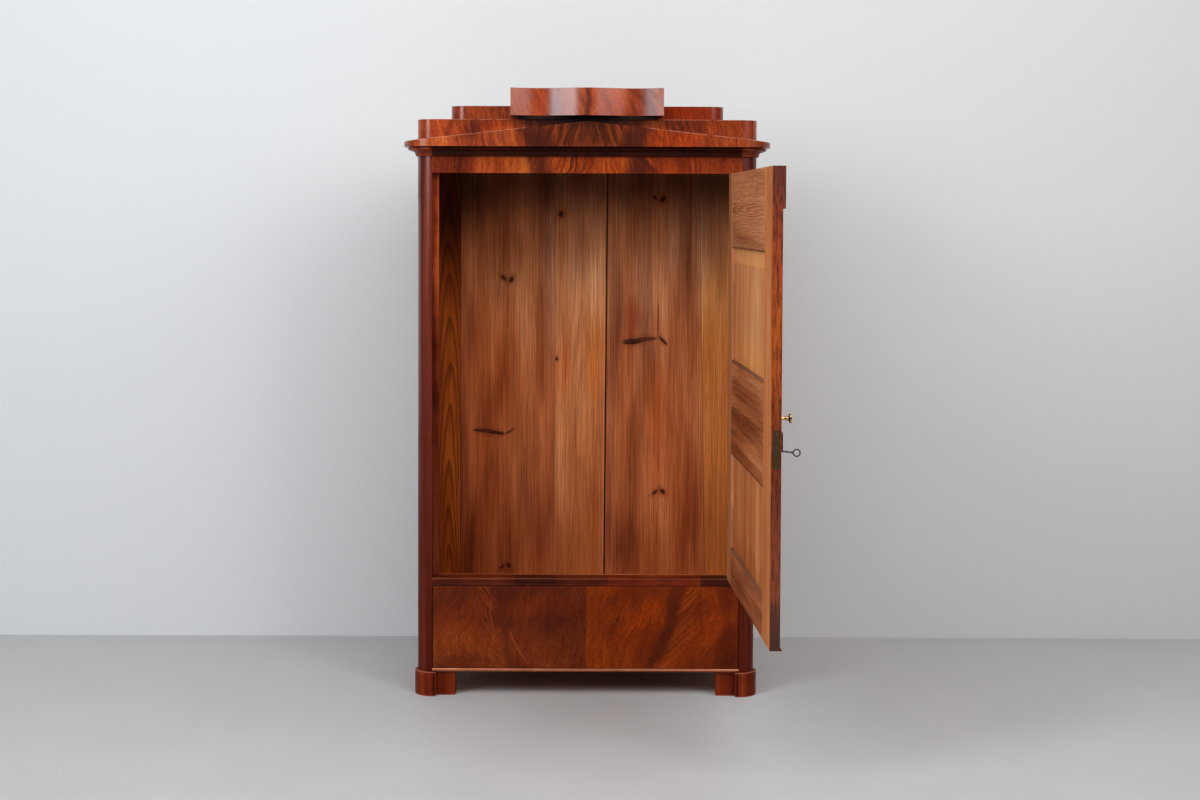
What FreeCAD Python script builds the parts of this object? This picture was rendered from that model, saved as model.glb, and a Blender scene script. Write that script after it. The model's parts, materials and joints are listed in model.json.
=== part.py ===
import FreeCAD, Part
import math
import os

# One-door wardrobe with a drawer in the base and a stepped attic.
# Millimetres, +Z up. The origin is on the floor, midway across and midway through the case.
# The door is built closed and then swung to the open angle at which it rests.

Vector = FreeCAD.Vector
up = Vector(0, 0, 1)

# Case
case_width = 1170.0
case_depth = 560.0
side_thickness = 24.0
column_radius = 54.0
foot_height = 84.0
base_thickness = 12.0
drawer_opening_height = 290.0
rail_thickness = 25.0
rail_depth = 65.0
riser_thickness = 16.0
door_opening_height = 1399.0
frieze_height = 58.0
frieze_thickness = 22.0
floor_drop = 91.0
board_thickness = 18.0
bearer_width = 60.0
stop_width = 20.0
stop_depth = 23.0
stop_gap = 1.0

# Back boards
back_thickness = 12.0
back_lap = 9.0
tight_gap = 0.4
shrinkage_gap = 4.0
back_seam_foot_shares = (0.086, 0.395, 0.555, 0.890)
back_seam_head_shares = (0.086, 0.395, 0.564, 0.861)

# Base bead and feet
bead_height = 8.0
bead_reach = 4.0
bead_depth = 8.0
foot_reach = 10.0
foot_width = 76.0
foot_depth = 76.0
foot_easing = 3.0
foot_block_width = 67.0
foot_block_setback = 11.0
foot_block_depth = 54.0
rear_foot_width = 70.0
rear_foot_depth = 80.0

# Cornice and pediment
cornice_foot_reach = 8.0
cornice_foot_height = 2.0
cove_radius = 19.0
fillet_reach = 33.0
fillet_height = 7.0
quirk_reach = 26.0
quirk_height = 4.0
pediment_reach = 47.0
pediment_end_height = 17.0
pediment_apex_height = 86.0

# Attic and crown
lower_attic_height = 93.5
upper_attic_height = 46.5
upper_attic_inset = 115.0
upper_attic_setback = 20.0
upper_attic_rear_setback = 140.0
attic_thickness = 20.0
attic_top_thickness = 14.0
cleat_height = 13.0
cleat_inset = 24.5
cleat_depth = 25.0
crown_width = 523.0
crown_height = 93.5
crown_reach = 25.0
crown_wave = 21.0
crown_depth = 250.0
crown_wave_length = 316.0
crown_points = 17

# Drawer
drawer_side_gap = 1.5
drawer_end_gap = 1.0
drawer_front_thickness = 24.0
drawer_side_thickness = 14.0
drawer_back_thickness = 12.0
drawer_rear_gap = 58.0
drawer_bottom_thickness = 8.0
drawer_bottom_rise = 8.0
drawer_groove = 5.0
runner_height = 8.0
runner_width = 52.0
guide_height = 30.0
slide_gap = 0.3
bearer_gap = 2.0
tail_count = 5
tail_lap = 6.0
tail_flare = 3.0
tail_share = 0.62

# Door
door_gap = 1.5
door_thickness = 30.0
door_open_angle = 92.7
hinge_stile_width = 100.0
lock_stile_width = 164.0
top_rail_width = 249.0
middle_rail_width = 317.0
bottom_rail_width = 127.0
upper_panel_height = 380.0
veneer_thickness = 2.0
panel_thickness = 10.0
panel_recess = 9.0
panel_tongue = 8.0
tenon_length = 60.0
tenon_thickness = 9.0
tenon_shoulder = 20.0
head_board_height = 123.0
head_board_reach = 8.0
foot_bead_height = 10.0
foot_bead_reach = 8.0

# Corner pivots of the door
pivot_inset = 6.0
pivot_reach = 7.0
pivot_pin_radius = 3.0
pivot_fit = 0.05
pivot_eye_radius = 7.0
pivot_thickness = 3.0
pivot_length = 64.0
pivot_width = 18.0
pivot_margin = 3.0
pin_end_gap = 0.7

# Lock, key and knob
lock_height = 994.0
edge_plate_height = 111.0
edge_plate_width = 20.0
edge_plate_thickness = 2.5
edge_plate_corner = 7.0
lock_body_length = 72.0
lock_body_height = 76.0
lock_body_thickness = 14.0
lock_wall = 1.5
bolt_height = 34.0
bolt_thickness = 7.0
bolt_head_length = 26.0
bolt_throw = 12.0
bolt_tail_height = 10.0
bolt_tail_length = 42.0
bolt_gap = 0.3
stump_radius = 2.5
stump_inset = 14.5
backset = 50.0
key_drop = 8.0
key_droop_angle = 6.0
key_shank_radius = 2.5
key_bit_radius = 13.0
key_bit_length = 6.5
key_bit_thickness = 2.6
key_tip_inset = 1.5
key_bow_radius = 10.2
key_bow_wire_radius = 1.9
key_reach = 52.0
keyhole_radius = 4.8
keyhole_slot_width = 3.6
escutcheon_width = 30.0
escutcheon_height = 58.0
escutcheon_reach = 10.0
escutcheon_rounding = 4.0
strike_height = 56.0
strike_thickness = 2.0
strike_pocket_depth = 16.0
strike_gap = 0.7
knob_height = 1080.0
knob_length = 35.0
knob_radius = 14.5
knob_rim = 2.4
knob_dome = 1.8
knob_neck_radius = 4.2
knob_neck_reach_shares = (0.40, 0.84)
knob_neck_flare_shares = (0.00, 0.26)
knob_base_radius = 6.0
knob_base_height = 2.5
knob_screw_radius = 2.5
knob_screw_length = 15.0

# A cut runs past the face it opens by this much
overrun = 2.0

# Parts of a half width that a round end and an eased corner take
fillet_share = 0.9
corner_share = 0.5

# Levels and planes that the pieces share
half_width = case_width / 2
front = -case_depth / 2
back = case_depth / 2
back_face = back - back_thickness
column_back = front + column_radius
column_face = half_width - column_radius
side_face = half_width - side_thickness
base_top = foot_height + base_thickness
rail_bottom = base_top + drawer_opening_height
opening_bottom = rail_bottom + rail_thickness
opening_top = opening_bottom + door_opening_height
cornice_bottom = opening_top + frieze_height
cornice_height = cornice_foot_height + cove_radius + fillet_height + quirk_height
case_top = cornice_bottom + cornice_height
floor_top = opening_bottom - floor_drop
floor_bottom = floor_top - board_thickness
lower_attic_top = case_top + lower_attic_height
upper_attic_top = lower_attic_top + upper_attic_height
upper_front = front + upper_attic_setback
crown_bottom = lower_attic_top + cleat_height
crown_top = crown_bottom + crown_height
drawer_edge = column_face - drawer_side_gap
drawer_bottom_level = base_top + drawer_end_gap
drawer_top_level = rail_bottom - drawer_end_gap
runner_top = base_top + runner_height
drawer_side_bottom = runner_top + slide_gap
drawer_side_top = floor_bottom - board_thickness - bearer_gap
door_edge = column_face - door_gap
door_bottom = opening_bottom + door_gap
door_top = opening_top - door_gap
door_back = front + door_thickness
pivot_x = column_face - pivot_inset
pivot_y = front - pivot_reach
key_x = -door_edge + backset
key_z = lock_height - key_drop
lock_middle = front + door_thickness / 2
lock_start = -door_edge + edge_plate_thickness
lock_end = lock_start + lock_body_length
lock_front = lock_middle - lock_body_thickness / 2
lock_back = lock_middle + lock_body_thickness / 2
bolt_front = lock_middle - bolt_thickness / 2
bolt_back = lock_middle + bolt_thickness / 2
bolt_tail_top = lock_height + bolt_height / 2
bolt_tail_bottom = bolt_tail_top - bolt_tail_height
stump_level = (bolt_tail_top + bolt_tail_bottom) / 2
stump_x = lock_end - lock_wall - stump_inset - bolt_throw


def block(x_low, x_high, y_low, y_high, z_low, z_high):
    corner = Vector(x_low, y_low, z_low)
    return Part.makeBox(x_high - x_low, y_high - y_low, z_high - z_low, corner)


def edges_through(points):
    """Straight edges along a list of points."""
    return [Part.makeLine(a, b) for a, b in zip(points, points[1:])]


def polygon(points):
    return Part.Face(Part.Wire(edges_through(list(points) + [points[0]])))


def standing(points, z_low, z_high):
    """A plan outline raised from one level to another."""
    outline = [Vector(x, y, z_low) for x, y in points]
    return polygon(outline).extrude(up * (z_high - z_low))


def arc(centre, radius, start_angle, end_angle):
    """A level arc between two directions given in degrees."""
    middle_angle = (start_angle + end_angle) / 2
    ends = []
    for angle in (start_angle, middle_angle, end_angle):
        turn = math.radians(angle)
        ends.append(centre + Vector(radius * math.cos(turn), radius * math.sin(turn), 0))
    return Part.Arc(*ends).toShape()


def rod(radius, start, end):
    return Part.makeCylinder(radius, (end - start).Length, start, end - start)


def mirrored(shape):
    return shape.mirror(Vector(0, 0, 0), Vector(1, 0, 0))


def both_sides(shape):
    return Part.makeCompound([shape, mirrored(shape)])


def joined(shapes):
    return shapes[0].multiFuse(shapes[1:]).removeSplitter()


def without(shape, tools):
    """A shape less its tools, each of which may be a group."""
    for tool in tools:
        shape = shape.cut(tool)
    return shape


# Case boards

def side_panel():
    """The left side: a board with a rebate for the back along its rear inner edge."""
    rebate_face = side_face + side_thickness / 2
    outline = [
        (-half_width, column_back),
        (-side_face, column_back),
        (-side_face, back_face),
        (-rebate_face, back_face),
        (-rebate_face, back),
        (-half_width, back),
    ]
    return standing(outline, foot_height, case_top)


def column():
    """The left corner post, a quarter round from the front to the side."""
    centre = Vector(-column_face, column_back, foot_height)
    tangent_front = centre - Vector(0, column_radius, 0)
    tangent_side = centre - Vector(column_radius, 0, 0)
    edges = [arc(centre, column_radius, 180, 270)]
    edges += edges_through([tangent_front, centre, tangent_side])
    return Part.Face(Part.Wire(edges)).extrude(up * (case_top - foot_height))


def door_stop():
    """The strip inside the left post that the door closes against."""
    y_low = door_back + stop_gap
    x_high = -column_face + stop_width
    return block(-column_face, x_high, y_low, y_low + stop_depth, opening_bottom, opening_top)


def frieze():
    return block(-column_face, column_face, front, front + frieze_thickness, opening_top, case_top)


def opening_rail():
    return block(-column_face, column_face, front, front + rail_depth, rail_bottom, opening_bottom)


def rail_riser():
    y_high = front + rail_depth
    return block(-column_face, column_face, y_high - riser_thickness, y_high, floor_top, rail_bottom)


def floor_board():
    return block(-side_face, side_face, column_back, back_face, floor_bottom, floor_top)


def floor_bearer():
    """Carries the left end of the floor and keeps the drawer side down."""
    z_low = floor_bottom - board_thickness
    return block(-side_face, -side_face + bearer_width, column_back, back_face, z_low, floor_bottom)


def ceiling_board():
    z_low = cornice_bottom + cornice_foot_height
    y_low = front + frieze_thickness
    narrow = block(-column_face, column_face, y_low, column_back, z_low, z_low + board_thickness)
    wide = block(-side_face, side_face, column_back, back_face, z_low, z_low + board_thickness)
    return joined([narrow, wide])


def base_board():
    y_low = front + bead_depth - bead_reach
    narrow = block(-column_face, column_face, y_low, column_back, foot_height, base_top)
    wide = block(-side_face, side_face, column_back, back_face, foot_height, base_top)
    return joined([narrow, wide])


def base_bead():
    """A half-round bead along the front edge of the base board."""
    y_back = front + bead_depth - bead_reach
    y_nose = front - bead_reach
    radius = bead_height / 2
    strip = block(-column_face, column_face, y_nose + radius, y_back, base_top - bead_height, base_top)
    start = Vector(-column_face, y_nose + radius, base_top - radius)
    nose = rod(radius, start, start + Vector(2 * column_face, 0, 0))
    return joined([strip, nose])


def upright_strip(foot_left, foot_right, head_left, head_right, y_low, y_high):
    """A tapered board standing along the back."""
    outline = [
        Vector(foot_left, y_low, foot_height),
        Vector(foot_right, y_low, foot_height),
        Vector(head_right, y_low, case_top),
        Vector(head_left, y_low, case_top),
    ]
    return polygon(outline).extrude(Vector(0, y_high - y_low, 0))


def back_boards():
    """Vertical boards of uneven, tapered width, each lapped behind the next."""
    rebate_face = side_face + side_thickness / 2
    width = 2 * rebate_face
    feet = [-rebate_face] + [share * width - rebate_face for share in back_seam_foot_shares] + [rebate_face]
    heads = [-rebate_face] + [share * width - rebate_face for share in back_seam_head_shares] + [rebate_face]
    gaps = [0, tight_gap, tight_gap, shrinkage_gap, tight_gap, 0]
    middle = back_face + back_thickness / 2
    last = len(feet) - 2
    boards = []
    for index in range(len(feet) - 1):
        gap_left = gaps[index] / 2
        gap_right = gaps[index + 1] / 2
        face = upright_strip(
            feet[index] + gap_left,
            feet[index + 1] - gap_right,
            heads[index] + gap_left,
            heads[index + 1] - gap_right,
            back_face,
            middle,
        )
        lap_left = 0 if index == 0 else back_lap + tight_gap / 2
        lap_right = 0 if index == last else back_lap - tight_gap / 2
        tongue = upright_strip(
            feet[index] + lap_left,
            feet[index + 1] + lap_right,
            heads[index] + lap_left,
            heads[index + 1] + lap_right,
            middle,
            back,
        )
        boards.append(joined([face, tongue]))
    return boards


# Feet

def front_foot():
    """The left front foot, rounded with the post and standing proud of it."""
    radius = column_radius + foot_reach
    centre = Vector(-column_face, column_back, 0)
    inner = -half_width - foot_reach + foot_width
    rear = front - foot_reach + foot_depth
    corners = [
        Vector(-column_face, front - foot_reach, 0),
        Vector(inner, front - foot_reach, 0),
        Vector(inner, rear, 0),
        Vector(-half_width - foot_reach, rear, 0),
        Vector(-half_width - foot_reach, column_back, 0),
    ]
    edges = [arc(centre, radius, 180, 270)] + edges_through(corners)
    foot = Part.Face(Part.Wire(edges)).extrude(up * foot_height)
    easing = min(foot_easing, foot_reach / 2)
    top_edges = []
    for edge in foot.Edges:
        box = edge.BoundBox
        level = box.ZMin > foot_height - easing
        outside = box.YMax < column_back + easing or box.XMax < -half_width
        inward = box.XMin > inner - easing
        if level and outside and not inward:
            top_edges.append(edge)
    return foot.makeChamfer(easing, top_edges)


def foot_block():
    """The block beside the left front foot."""
    x_low = -half_width - foot_reach + foot_width
    y_low = front + foot_block_setback
    return block(x_low, x_low + foot_block_width, y_low, y_low + foot_block_depth, 0, foot_height)


def rear_foot():
    return block(-half_width, -half_width + rear_foot_width, back - rear_foot_depth, back, 0, foot_height)


# Cornice, pediment and attic

def cornice_profile(place):
    """The moulding's section; place turns a reach and a level into a point."""
    cove_foot = cornice_bottom + cornice_foot_height
    cove_top = cove_foot + cove_radius
    fillet_top = cove_top + fillet_height
    cove_centre_reach = cornice_foot_reach + cove_radius
    slant = cove_radius * math.sqrt(2) / 2
    cove = Part.Arc(
        place(cornice_foot_reach, cove_foot),
        place(cove_centre_reach - slant, cove_foot + slant),
        place(cove_centre_reach, cove_top),
    ).toShape()
    below = edges_through([
        place(0, case_top),
        place(0, cornice_bottom),
        place(cornice_foot_reach, cornice_bottom),
        place(cornice_foot_reach, cove_foot),
    ])
    above = edges_through([
        place(cove_centre_reach, cove_top),
        place(fillet_reach, cove_top),
        place(fillet_reach, fillet_top),
        place(quirk_reach, fillet_top),
        place(quirk_reach, case_top),
        place(0, case_top),
    ])
    return Part.Face(Part.Wire(below + [cove] + above))


def cornice_moulding():
    """Front, rounded corners and sides of the cove and fillet, in one run."""
    front_profile = cornice_profile(lambda reach, level: Vector(-column_face, front - reach, level))
    side_profile = cornice_profile(lambda reach, level: Vector(-half_width - reach, column_back, level))
    along_front = front_profile.extrude(Vector(2 * column_face, 0, 0))
    corner = front_profile.revolve(Vector(-column_face, column_back, 0), up, -90)
    along_side = side_profile.extrude(Vector(0, back - column_back, 0))
    return joined([along_front, corner, along_side, mirrored(corner), mirrored(along_side)])


def wrapped_front(half, y_front, inner_reach, outer_reach, z_low, z_high):
    """A front with rounded corners, between two reaches from the face of what it wraps."""
    straight = half - column_radius
    turn = y_front + column_radius
    left = Vector(-straight, turn, z_low)
    right = Vector(straight, turn, z_low)
    outer = column_radius + outer_reach
    inner = column_radius + inner_reach
    edges = [
        arc(left, outer, 180, 270),
        Part.makeLine(left - Vector(0, outer, 0), right - Vector(0, outer, 0)),
        arc(right, outer, 270, 360),
        Part.makeLine(right + Vector(outer, 0, 0), right + Vector(inner, 0, 0)),
        arc(right, inner, 360, 270),
        Part.makeLine(right - Vector(0, inner, 0), left - Vector(0, inner, 0)),
        arc(left, inner, 270, 180),
        Part.makeLine(left - Vector(inner, 0, 0), left - Vector(outer, 0, 0)),
    ]
    return Part.Face(Part.Wire(edges)).extrude(up * (z_high - z_low))


def pediment_board():
    """The board over the cornice, with its top cut to a shallow gable."""
    span = half_width + pediment_reach
    board = wrapped_front(half_width, front, 0, pediment_reach, case_top, case_top + pediment_apex_height)
    y_low = front - pediment_reach - overrun
    gable = polygon([
        Vector(-span, y_low, case_top),
        Vector(span, y_low, case_top),
        Vector(span, y_low, case_top + pediment_end_height),
        Vector(0, y_low, case_top + pediment_apex_height),
        Vector(-span, y_low, case_top + pediment_end_height),
    ])
    return board.common(gable.extrude(Vector(0, column_back - y_low + overrun, 0)))


def cornice_return():
    """The strip along the left side, beside the end of the pediment board."""
    z_high = case_top + pediment_end_height
    return block(-half_width - pediment_reach, -half_width, column_back, back, case_top, z_high)


def attic_front(half, y_front, z_low, z_high):
    return wrapped_front(half, y_front, -attic_thickness, 0, z_low, z_high)


def attic_sides(half, y_front, y_back, z_low, z_high):
    """Two side boards and the board across the back."""
    side = block(-half, -half + attic_thickness, y_front + column_radius, y_back, z_low, z_high)
    inner = half - attic_thickness
    rear = block(-inner, inner, y_back - attic_thickness, y_back, z_low, z_high)
    return Part.makeCompound([side, mirrored(side), rear])


def attic_lid(half, y_front, y_back, z_high):
    """The top board, let in behind the front and between the sides."""
    inner = half - attic_thickness
    radius = column_radius - attic_thickness
    z_low = z_high - attic_top_thickness
    left = Vector(-inner + radius, y_front + column_radius, z_low)
    right = Vector(inner - radius, y_front + column_radius, z_low)
    rear = y_back - attic_thickness
    edges = [
        arc(left, radius, 180, 270),
        Part.makeLine(left - Vector(0, radius, 0), right - Vector(0, radius, 0)),
        arc(right, radius, 270, 360),
    ]
    edges += edges_through([
        right + Vector(radius, 0, 0),
        Vector(inner, rear, z_low),
        Vector(-inner, rear, z_low),
        left - Vector(radius, 0, 0),
    ])
    return Part.Face(Part.Wire(edges)).extrude(up * attic_top_thickness)


def crown_cleat():
    half = crown_width / 2 - cleat_inset
    return block(-half, half, upper_front - cleat_depth, upper_front, lower_attic_top, crown_bottom)


def crown_front():
    """The crown's serpentine front: its plan is a cosine wave, furthest forward in the middle."""
    half = crown_width / 2
    points = []
    for step in range(crown_points):
        x = crown_width * step / (crown_points - 1) - half
        wave = crown_wave * math.cos(2 * math.pi * x / crown_wave_length)
        points.append(Vector(x, front - crown_reach - wave, crown_bottom))
    curve = Part.BSplineCurve()
    curve.interpolate(points)
    rear_right = Vector(half, upper_front, crown_bottom)
    rear_left = Vector(-half, upper_front, crown_bottom)
    rear = edges_through([points[-1], rear_right, rear_left, points[0]])
    outline = Part.Wire([curve.toShape()] + rear)
    return Part.Face(outline).extrude(up * crown_height)


def crown_sides():
    """The crown's side boards and back, standing on the upper attic."""
    half = crown_width / 2
    y_back = upper_front + crown_depth
    side = block(-half, -half + attic_thickness, upper_front, y_back, upper_attic_top, crown_top)
    inner = half - attic_thickness
    rear = block(-inner, inner, y_back - attic_thickness, y_back, upper_attic_top, crown_top)
    return Part.makeCompound([side, mirrored(side), rear])


def crown_lid():
    inner = crown_width / 2 - attic_thickness
    y_high = upper_front + crown_depth - attic_thickness
    return block(-inner, inner, upper_front, y_high, crown_top - attic_top_thickness, crown_top)


# Drawer and its runners

def drawer_runner():
    """The left runner, with the guide that keeps the drawer side straight."""
    y_high = back_face
    runner = block(-side_face, -side_face + runner_width, column_back, y_high, base_top, runner_top)
    guide = block(-side_face, -column_face, column_back, y_high, runner_top, runner_top + guide_height)
    return joined([runner, guide])


def tails(x_low, x_high, y_root, y_tip):
    """A row of dovetails, wider at the tip, spaced over the height of a drawer side."""
    pitch = (drawer_side_top - drawer_side_bottom) / tail_count
    half_tip = pitch * tail_share / 2
    flare = min(tail_flare, half_tip / 2)
    row = []
    for index in range(tail_count):
        level = drawer_side_bottom + pitch * (index + 1 / 2)
        outline = [
            Vector(x_low, y_root, level - half_tip + flare),
            Vector(x_low, y_tip, level - half_tip),
            Vector(x_low, y_tip, level + half_tip),
            Vector(x_low, y_root, level + half_tip - flare),
        ]
        row.append(polygon(outline).extrude(Vector(x_high - x_low, 0, 0)))
    return row


def drawer_pieces():
    """Front, left side, right side, back and bottom of the drawer."""
    inner = drawer_edge - drawer_side_thickness
    front_back = front + drawer_front_thickness
    rear = back_face - drawer_rear_gap
    rear_face = rear - drawer_back_thickness
    bottom_low = drawer_side_bottom + drawer_bottom_rise
    bottom_high = bottom_low + drawer_bottom_thickness
    left_tails = tails(-drawer_edge, -inner, front_back, front + tail_lap)
    left_rear_tails = tails(-drawer_edge, -inner, rear_face, rear)
    left = block(-drawer_edge, -inner, front_back, rear_face, drawer_side_bottom, drawer_side_top)
    left = joined([left] + left_tails + left_rear_tails)
    right = mirrored(left)
    half_bottom = inner + drawer_groove
    bottom = block(-half_bottom, half_bottom, front_back - drawer_groove, rear, bottom_low, bottom_high)
    face = block(-drawer_edge, drawer_edge, front, front_back, drawer_bottom_level, drawer_top_level)
    across = block(-drawer_edge, drawer_edge, rear_face, rear, bottom_high, drawer_side_top)
    left = left.cut(bottom)
    right = right.cut(bottom)
    face = without(face, [left, right, bottom])
    across = without(across, [left, right])
    return face, left, right, across, bottom


# Door frame and panels

def door_frame_pieces():
    """Stiles and rails with tenons, and the two panels in their grooves."""
    core_front = front + veneer_thickness
    core_left = -door_edge + veneer_thickness
    stile_right = door_edge - hinge_stile_width
    stile_left = -door_edge + lock_stile_width
    top_rail_bottom = door_top - top_rail_width
    middle_rail_top = top_rail_bottom - upper_panel_height
    middle_rail_bottom = middle_rail_top - middle_rail_width
    bottom_rail_top = door_bottom + bottom_rail_width
    panel_back = door_back - panel_recess
    panel_front = panel_back - panel_thickness

    hinge_stile = block(stile_right, door_edge, core_front, door_back, door_bottom, door_top)
    lock_stile = block(core_left, stile_left, core_front, door_back, door_bottom, door_top)
    tenon_low = (core_front + door_back - tenon_thickness) / 2
    tenon_high = tenon_low + tenon_thickness

    def rail(z_low, z_high):
        board = block(stile_left, stile_right, core_front, door_back, z_low, z_high)
        shoulder = min(tenon_shoulder, (z_high - z_low) / 4)
        tenon = block(
            stile_left - tenon_length,
            stile_right + tenon_length,
            tenon_low,
            tenon_high,
            z_low + shoulder,
            z_high - shoulder,
        )
        return joined([board, tenon])

    def panel(z_low, z_high):
        return block(
            stile_left - panel_tongue,
            stile_right + panel_tongue,
            panel_front,
            panel_back,
            z_low - panel_tongue,
            z_high + panel_tongue,
        )

    upper_panel = panel(middle_rail_top, top_rail_bottom)
    lower_panel = panel(bottom_rail_top, middle_rail_bottom)
    panels = [upper_panel, lower_panel]
    top_rail = without(rail(top_rail_bottom, door_top), panels)
    middle_rail = without(rail(middle_rail_bottom, middle_rail_top), panels)
    bottom_rail = without(rail(door_bottom, bottom_rail_top), panels)
    rails = [top_rail, middle_rail, bottom_rail]
    hinge_stile = without(hinge_stile, panels + rails)
    lock_stile = without(lock_stile, panels + rails)

    sheet = block(-door_edge, door_edge, front, core_front, door_bottom, door_top)
    edge_sheet = block(-door_edge, core_left, core_front, door_back, door_bottom, door_top)
    openings = []
    panel_sheets = []
    for z_low, z_high in ((middle_rail_top, top_rail_bottom), (bottom_rail_top, middle_rail_bottom)):
        openings.append(block(stile_left, stile_right, front - overrun, core_front + overrun, z_low, z_high))
        panel_sheets.append(
            block(stile_left, stile_right, panel_front - veneer_thickness, panel_front, z_low, z_high)
        )
    frame_sheet = joined([without(sheet, openings), edge_sheet])
    veneer = Part.makeCompound([frame_sheet] + panel_sheets)
    return hinge_stile, lock_stile, top_rail, middle_rail, bottom_rail, upper_panel, lower_panel, veneer


def head_board():
    """The board applied across the top of the door's front."""
    y_low = front - head_board_reach
    return block(-door_edge, door_edge, y_low, front, door_top - head_board_height, door_top)


def foot_bead():
    """The small weathered bead across the foot of the door's front."""
    outline = [
        Vector(-door_edge, front, door_bottom),
        Vector(-door_edge, front - foot_bead_reach, door_bottom),
        Vector(-door_edge, front, door_bottom + foot_bead_height),
    ]
    return polygon(outline).extrude(Vector(2 * door_edge, 0, 0))


# Pivots

def pivot_plate(z_low, hole_radius):
    """A plate let in flush, with an eye standing in front of the case."""
    z_high = z_low + pivot_thickness
    x_high = door_edge
    y_low = front + pivot_margin
    tongue = block(x_high - pivot_length, x_high, y_low, y_low + pivot_width, z_low, z_high)
    arm = block(pivot_x - pivot_eye_radius, x_high, pivot_y, y_low + pivot_margin, z_low, z_high)
    centre = Vector(pivot_x, pivot_y, z_low)
    eye = Part.makeCylinder(pivot_eye_radius, pivot_thickness, centre, up)
    plate = joined([tongue, arm, eye])
    if hole_radius:
        bore = Part.makeCylinder(hole_radius, pivot_thickness + 2 * overrun, centre - up * overrun, up)
        plate = plate.cut(bore)
    return plate


def pivots():
    """Case plates with pins, door plates with eyes, and the room the pins need."""
    case_plates = []
    door_plates = []
    pin_rooms = []
    for case_face, door_face, direction in ((opening_top, door_top, 1), (opening_bottom, door_bottom, -1)):
        case_far = case_face + direction * pivot_thickness
        door_far = door_face - direction * pivot_thickness
        pin_end = door_far - direction * pin_end_gap
        case_plate = pivot_plate(min(case_face, case_far), 0)
        pin = rod(pivot_pin_radius, Vector(pivot_x, pivot_y, case_far), Vector(pivot_x, pivot_y, pin_end))
        case_plates.append(joined([case_plate, pin]))
        door_plates.append(pivot_plate(min(door_face, door_far), pivot_pin_radius + pivot_fit))
        room_end = Vector(pivot_x, pivot_y, pin_end - direction * pin_end_gap)
        pin_rooms.append(rod(pivot_pin_radius + pin_end_gap, Vector(pivot_x, pivot_y, door_face), room_end))
    return case_plates, door_plates, pin_rooms


# Lock, bolt, key, escutcheon, strike plate and knob, placed on the closed door

def rounded_plate(x_low, x_high, y_middle, width, z_middle, height, corner):
    """An upright plate on an edge, with rounded corners."""
    y_low = y_middle - width / 2
    plate = block(x_low, x_high, y_low, y_low + width, z_middle - height / 2, z_middle + height / 2)
    along_x = [edge for edge in plate.Edges if edge.BoundBox.XLength > (x_high - x_low) / 2]
    return plate.makeFillet(min(corner, width / 2 * fillet_share), along_x)


def keyhole(y_low, y_high):
    """A round hole over a slot for the key's bit."""
    hole = rod(keyhole_radius, Vector(key_x, y_low, key_z), Vector(key_x, y_high, key_z))
    slot_foot = key_z - key_bit_radius - keyhole_radius / 2
    half = keyhole_slot_width / 2
    return hole.fuse(block(key_x - half, key_x + half, y_low, y_high, slot_foot, key_z))


def lock_body():
    """The solid room that the lock body takes in the stile."""
    half = lock_body_height / 2
    return block(lock_start, lock_end, lock_front, lock_back, lock_height - half, lock_height + half)


def edge_plate():
    return rounded_plate(
        -door_edge,
        lock_start,
        lock_middle,
        edge_plate_width,
        lock_height,
        edge_plate_height,
        edge_plate_corner,
    )


def lock_case():
    """Edge plate and hollow body, with the bolt's slot, the keyhole and the stump that guides the bolt."""
    half = lock_body_height / 2 - lock_wall
    hollow = block(
        lock_start,
        lock_end - lock_wall,
        lock_front + lock_wall,
        lock_back - lock_wall,
        lock_height - half,
        lock_height + half,
    )
    half_slot = bolt_height / 2 + bolt_gap
    slot = block(
        -door_edge - overrun,
        lock_start + overrun,
        bolt_front - bolt_gap,
        bolt_back + bolt_gap,
        lock_height - half_slot,
        lock_height + half_slot,
    )
    stump_start = Vector(stump_x, lock_front, stump_level)
    stump = rod(stump_radius, stump_start, stump_start + Vector(0, lock_body_thickness, 0))
    shell = joined([edge_plate(), lock_body()])
    shell = without(shell, [hollow, slot, keyhole(lock_front - overrun, lock_front + lock_wall + overrun)])
    return joined([shell.cut(stump), stump])


def lock_bolt():
    """The bolt, drawn back: a head in the edge plate's slot and a slotted tail over the key."""
    low = lock_height - bolt_height / 2
    head_end = -door_edge + bolt_head_length
    tail_end = head_end + bolt_tail_length
    head = block(-door_edge, head_end, bolt_front, bolt_back, low, bolt_tail_top)
    tail = block(head_end, tail_end, bolt_front, bolt_back, bolt_tail_bottom, bolt_tail_top)
    slot_half = stump_radius + bolt_gap
    slot_start = stump_x - slot_half
    slot_end = stump_x + slot_half + bolt_throw
    slot_bottom = stump_level - slot_half
    slot = block(slot_start, slot_end, bolt_front, bolt_back, slot_bottom, stump_level + slot_half)
    return joined([head, tail]).cut(slot)


def key_bow(centre):
    """A round bow across the shank, forged flat with its corners taken off."""
    outer = key_bow_radius + key_bow_wire_radius
    inner = key_bow_radius - key_bow_wire_radius
    start = centre - Vector(key_bow_wire_radius, 0, 0)
    end = centre + Vector(key_bow_wire_radius, 0, 0)
    ring = rod(outer, start, end).cut(rod(inner, start, end))
    rims = [edge for edge in ring.Edges if edge.BoundBox.XLength < key_bow_wire_radius]
    return ring.makeChamfer(key_bow_wire_radius * corner_share, rims)


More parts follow.
